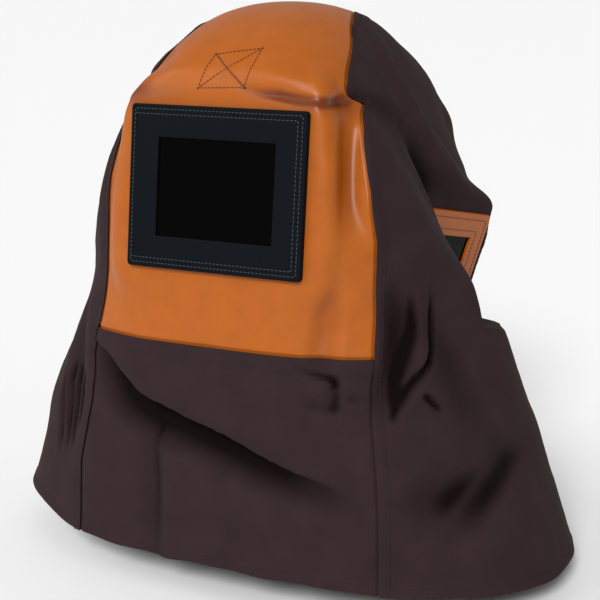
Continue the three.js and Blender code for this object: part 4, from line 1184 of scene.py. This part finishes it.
redThread = newMaterial("redThread", (0.09, 0.012, 0.006), 0.8)[0]
brownThread = newMaterial("brownThread", (0.016, 0.008, 0.008), 0.9)[0]
greyThread = newMaterial("greyThread", (0.035, 0.045, 0.055), 0.8)[0]
square = {"topLeft": (-13.2, -129, 41.3), "topRight": (22.5, -122, 46), "bottomRight": (18.5, -147, 19.2),
          "bottomLeft": (-19.8, -147, 17.5)}
corners = [square[key] for key in ("topLeft", "topRight", "bottomRight", "bottomLeft")]
boxRuns = [(onLeather(a, b), False) for a, b in zip(corners, corners[1:] + corners[:1])]
boxRuns += [(onLeather(corners[0], corners[2]), False), (onLeather(corners[1], corners[3]), False),
            (onLeather(np.array(corners[0]) + [1.2, 0, 0], np.array(corners[2]) + [1.2, 0, 0]), False)]
lapLines = len(underLap["cloth"])
withPieces = {
    "leather_front": [
        stitched("leather_square_stitches", boxRuns, redThread, Radius=0.0003, Pitch=0.0030)],
    "bib_cloth": [stitched(
        "bib_stitches", panelRuns("bib_cloth", [("top", topBandLook), ("bottom", hemLook)], lapLines),
        brownThread)],
    "back_cloth": [stitched(
        "back_stitches", panelRuns("back_cloth", [("bottom", hemLook)], lapLines), brownThread)],
}
for word in ("left", "right"):
    name = "side_cloth_" + word
    runs = panelRuns(name, [("left", bandLook), ("right", bandLook), ("top", bandLook), ("bottom", hemLook)])
    withPieces[name] = [stitched("side_stitches_" + word, runs, brownThread)]
level = frontWindow["gap"] + frontWindow["thick"]
halfW, halfH = frontWindow["width"] / 2, frontWindow["height"] / 2
frontRuns = [(loopOn(seats["front"], halfW - 3.6, halfH - 3.6, level), True),
             (onSeat(seats["front"], [(5 - halfW, halfH - 7.4), (halfW - 7.4, halfH - 7.4),
                                      (halfW - 7.4, 7.4 - halfH), (5 - halfW, 7.4 - halfH)], level), False)]
stitched("surround_stitches", frontRuns, greyThread)
level = sideWindow["gap"] + sideWindow["thick"]
halfW, halfH = sideWindow["width"] / 2, sideWindow["height"] / 2
for word, seat in sideSeats.items():
    runs = [(loopOn(seat, halfW - d, halfH - d, level), True) for d in sideStitches]
    stitched("side_surround_stitches_" + word, runs, redThread)
print("stitches ready")

for name, (node, slot) in stands.items():
    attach(made[name], "root")
    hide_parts(node)
for name in panels:
    rests = ["leather_front"] if name == "bib_cloth" else ["cap_shell"]
    declare(made[name], panels[name], held="draped", rests_on=rests, with_pieces=withPieces[name])


# each look's colour for folds is painted shade, multiplied into the base colour in fold and crease valleys
looks = {
    "leather": {
        "color": (0.37, 0.088, 0.004), "roughness": 0.38, "specular": 0.3, "grain": 900.0,
        "grainDepth": 0.00012, "paintedShadeInFolds": (0.4, 0.3, 0.2)
    },
    "cloth": {
        "color": (0.029, 0.0165, 0.0185), "paintedShadeInFolds": (0.16, 0.13, 0.13), "roughness": 0.95,
        "threads": 1500.0, "weaveDepth": 0.0001
    },
    "surround": {
        "color": (0.0025, 0.004, 0.006), "roughness": 0.6, "specular": 0.06, "grain": 900.0,
        "grainDepth": 0.0001, "paintedShadeInFolds": (0.4, 0.3, 0.2)
    },
    "glass": {
        "color": (0.001, 0.0008, 0.0008), "roughness": 0.06, "specular": 0.05
    },
    "cap": {
        "color": (0.025, 0.027, 0.03), "roughness": 0.4
    },
    "band": {
        "color": (0.012, 0.012, 0.014), "roughness": 0.95
    },
}


def addNode(material, kind, **values):
    node = material.node_tree.nodes.new(kind)
    for key, value in values.items():
        if hasattr(node, key):
            setattr(node, key, value)
        else:
            node.inputs[key.replace("_", " ")].default_value = value
    return node


# painted shade: multiplies the base colour towards the fold colour by the 'fold' attribute, standing in for
# the shade in fold and crease valleys
def paintFoldShade(material, tone, shader, share):
    link = material.node_tree.links.new
    depth = addNode(material, "ShaderNodeAttribute", attribute_name="fold")
    shadeMix = addNode(material, "ShaderNodeMix", data_type="RGBA", blend_type="MULTIPLY")
    shadeMix.inputs["B"].default_value = (*share, 1)
    link(depth.outputs["Fac"], shadeMix.inputs["Factor"])
    link(tone.outputs["Result"], shadeMix.inputs["A"])
    link(shadeMix.outputs["Result"], shader.inputs["Base Color"])


def leatherMaterial(name, look):
    material, shader = newMaterial(name, look["color"], look["roughness"],
                                   Specular_IOR_Level=look["specular"])
    link = material.node_tree.links.new
    place = addNode(material, "ShaderNodeTexCoord")
    grain = addNode(material, "ShaderNodeTexVoronoi", Scale=look["grain"])
    fine = addNode(material, "ShaderNodeTexNoise", Scale=60.0, Detail=4.0)
    link(place.outputs["Object"], grain.inputs["Vector"])
    link(place.outputs["Object"], fine.inputs["Vector"])
    tone = addNode(material, "ShaderNodeMix", data_type="RGBA")
    tone.inputs["A"].default_value = (*[c * 0.86 for c in look["color"]], 1)
    tone.inputs["B"].default_value = (*[min(1, c * 1.14) for c in look["color"]], 1)
    link(fine.outputs["Fac"], tone.inputs["Factor"])
    paintFoldShade(material, tone, shader, look["paintedShadeInFolds"])
    bumpNode = addNode(material, "ShaderNodeBump", Strength=0.35, Distance=look["grainDepth"])
    link(grain.outputs["Distance"], bumpNode.inputs["Height"])
    link(bumpNode.outputs["Normal"], shader.inputs["Normal"])
    return material


def clothMaterial(name, look):
    material, shader = newMaterial(name, look["color"], look["roughness"],
                                   Sheen_Weight=0.03, Sheen_Roughness=0.5)
    shader.inputs["Sheen Tint"].default_value = (0.6, 0.5, 0.5, 1)
    shader.inputs["Specular IOR Level"].default_value = 0.06
    link = material.node_tree.links.new
    uv = addNode(material, "ShaderNodeUVMap", uv_map="cloth")
    perTurn = look["threads"] / 6.283
    warp = addNode(material, "ShaderNodeTexWave", Scale=perTurn, Distortion=0.6)
    weft = addNode(material, "ShaderNodeTexWave", Scale=perTurn, Distortion=0.6, bands_direction="Y")
    for wave in (warp, weft):
        link(uv.outputs["UV"], wave.inputs["Vector"])
    weave = addNode(material, "ShaderNodeMath", operation="MULTIPLY")
    link(warp.outputs["Fac"], weave.inputs[0])
    link(weft.outputs["Fac"], weave.inputs[1])
    place = addNode(material, "ShaderNodeTexCoord")
    patch = addNode(material, "ShaderNodeTexNoise", Scale=35.0, Detail=5.0)
    link(place.outputs["Object"], patch.inputs["Vector"])
    blend = addNode(material, "ShaderNodeMath", operation="MULTIPLY_ADD")
    link(weave.outputs[0], blend.inputs[0])
    blend.inputs[1].default_value = 0.35
    link(patch.outputs["Fac"], blend.inputs[2])
    tone = addNode(material, "ShaderNodeMix", data_type="RGBA")
    tone.inputs["A"].default_value = (*[c * 0.72 for c in look["color"]], 1)
    tone.inputs["B"].default_value = (*[c * 1.22 for c in look["color"]], 1)
    link(blend.outputs[0], tone.inputs["Factor"])
    paintFoldShade(material, tone, shader, look["paintedShadeInFolds"])
    bumpNode = addNode(material, "ShaderNodeBump", Strength=0.5, Distance=look["weaveDepth"])
    link(weave.outputs[0], bumpNode.inputs["Height"])
    link(bumpNode.outputs["Normal"], shader.inputs["Normal"])
    return material


orange = leatherMaterial("orangeLeather", looks["leather"])
brown = clothMaterial("brownCloth", looks["cloth"])
black = leatherMaterial("blackLeather", looks["surround"])
glass = newMaterial("darkGlass", looks["glass"]["color"], looks["glass"]["roughness"],
                    Specular_IOR_Level=looks["glass"]["specular"])[0]
plastic = newMaterial("capPlastic", looks["cap"]["color"], looks["cap"]["roughness"])[0]
band = newMaterial("bandCloth", looks["band"]["color"], looks["band"]["roughness"])[0]
bySlot = {"orange_leather": orange, "brown_cloth": brown, "black_leather": black, "dark_glass": glass,
          "cap_plastic": plastic, "sweatband": band}
for name, (node, slot) in stands.items():
    made[name].data.materials.clear()
    made[name].data.materials.append(bySlot[slot])
for node in ("filter_glass", "side_window_glass_left", "side_window_glass_right"):
    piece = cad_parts[node]
    piece.data.materials.clear()
    piece.data.materials.append(glass)
print("materials ready")

# camera, floor and light
view = {"azimuth": 25.0, "elevation": 14.0, "distance": 1.15, "target": (0.010, -0.030, -0.172), "lens": 80.0}
azimuth, elevation = math.radians(view["azimuth"]), math.radians(view["elevation"])
away = Vector((math.sin(azimuth) * math.cos(elevation), -math.cos(azimuth) * math.cos(elevation),
               math.sin(elevation)))
target = Vector(view["target"])
lens = bpy.data.cameras.new("camera")
lens.lens = view["lens"]
lens.sensor_width = 36.0
camera = bpy.data.objects.new("camera", lens)
camera.location = target + away * view["distance"]
camera.rotation_euler = (-away).to_track_quat("-Z", "Y").to_euler()
bpy.context.scene.collection.objects.link(camera)
bpy.context.scene.camera = camera

floorLevel = -0.392
bpy.ops.mesh.primitive_plane_add(size=120, location=(0, 0, floorLevel))
floor = bpy.context.object
floor.name = "floor"
pale = newMaterial("paleFloor", (0.95, 0.95, 0.95), 0.9)[0]
floor.data.materials.append(pale)

world = bpy.data.worlds.new("studio")
world.use_nodes = True
world.node_tree.nodes["Background"].inputs["Color"].default_value = (1, 1, 1, 1)
world.node_tree.nodes["Background"].inputs["Strength"].default_value = 0.42
bpy.context.scene.world = world
bpy.context.scene.view_settings.view_transform = "Standard"


def softLight(name, azimuth, elevation, strength, spread):
    light = bpy.data.lights.new(name, "SUN")
    light.energy, light.angle = strength, math.radians(spread)
    lamp = bpy.data.objects.new(name, light)
    lamp.rotation_euler = (math.radians(90 - elevation), 0, math.radians(azimuth))
    bpy.context.scene.collection.objects.link(lamp)


softLight("key", 8, 36, 2.4, 20)
softLight("fill", -60, 30, 0.9, 50)
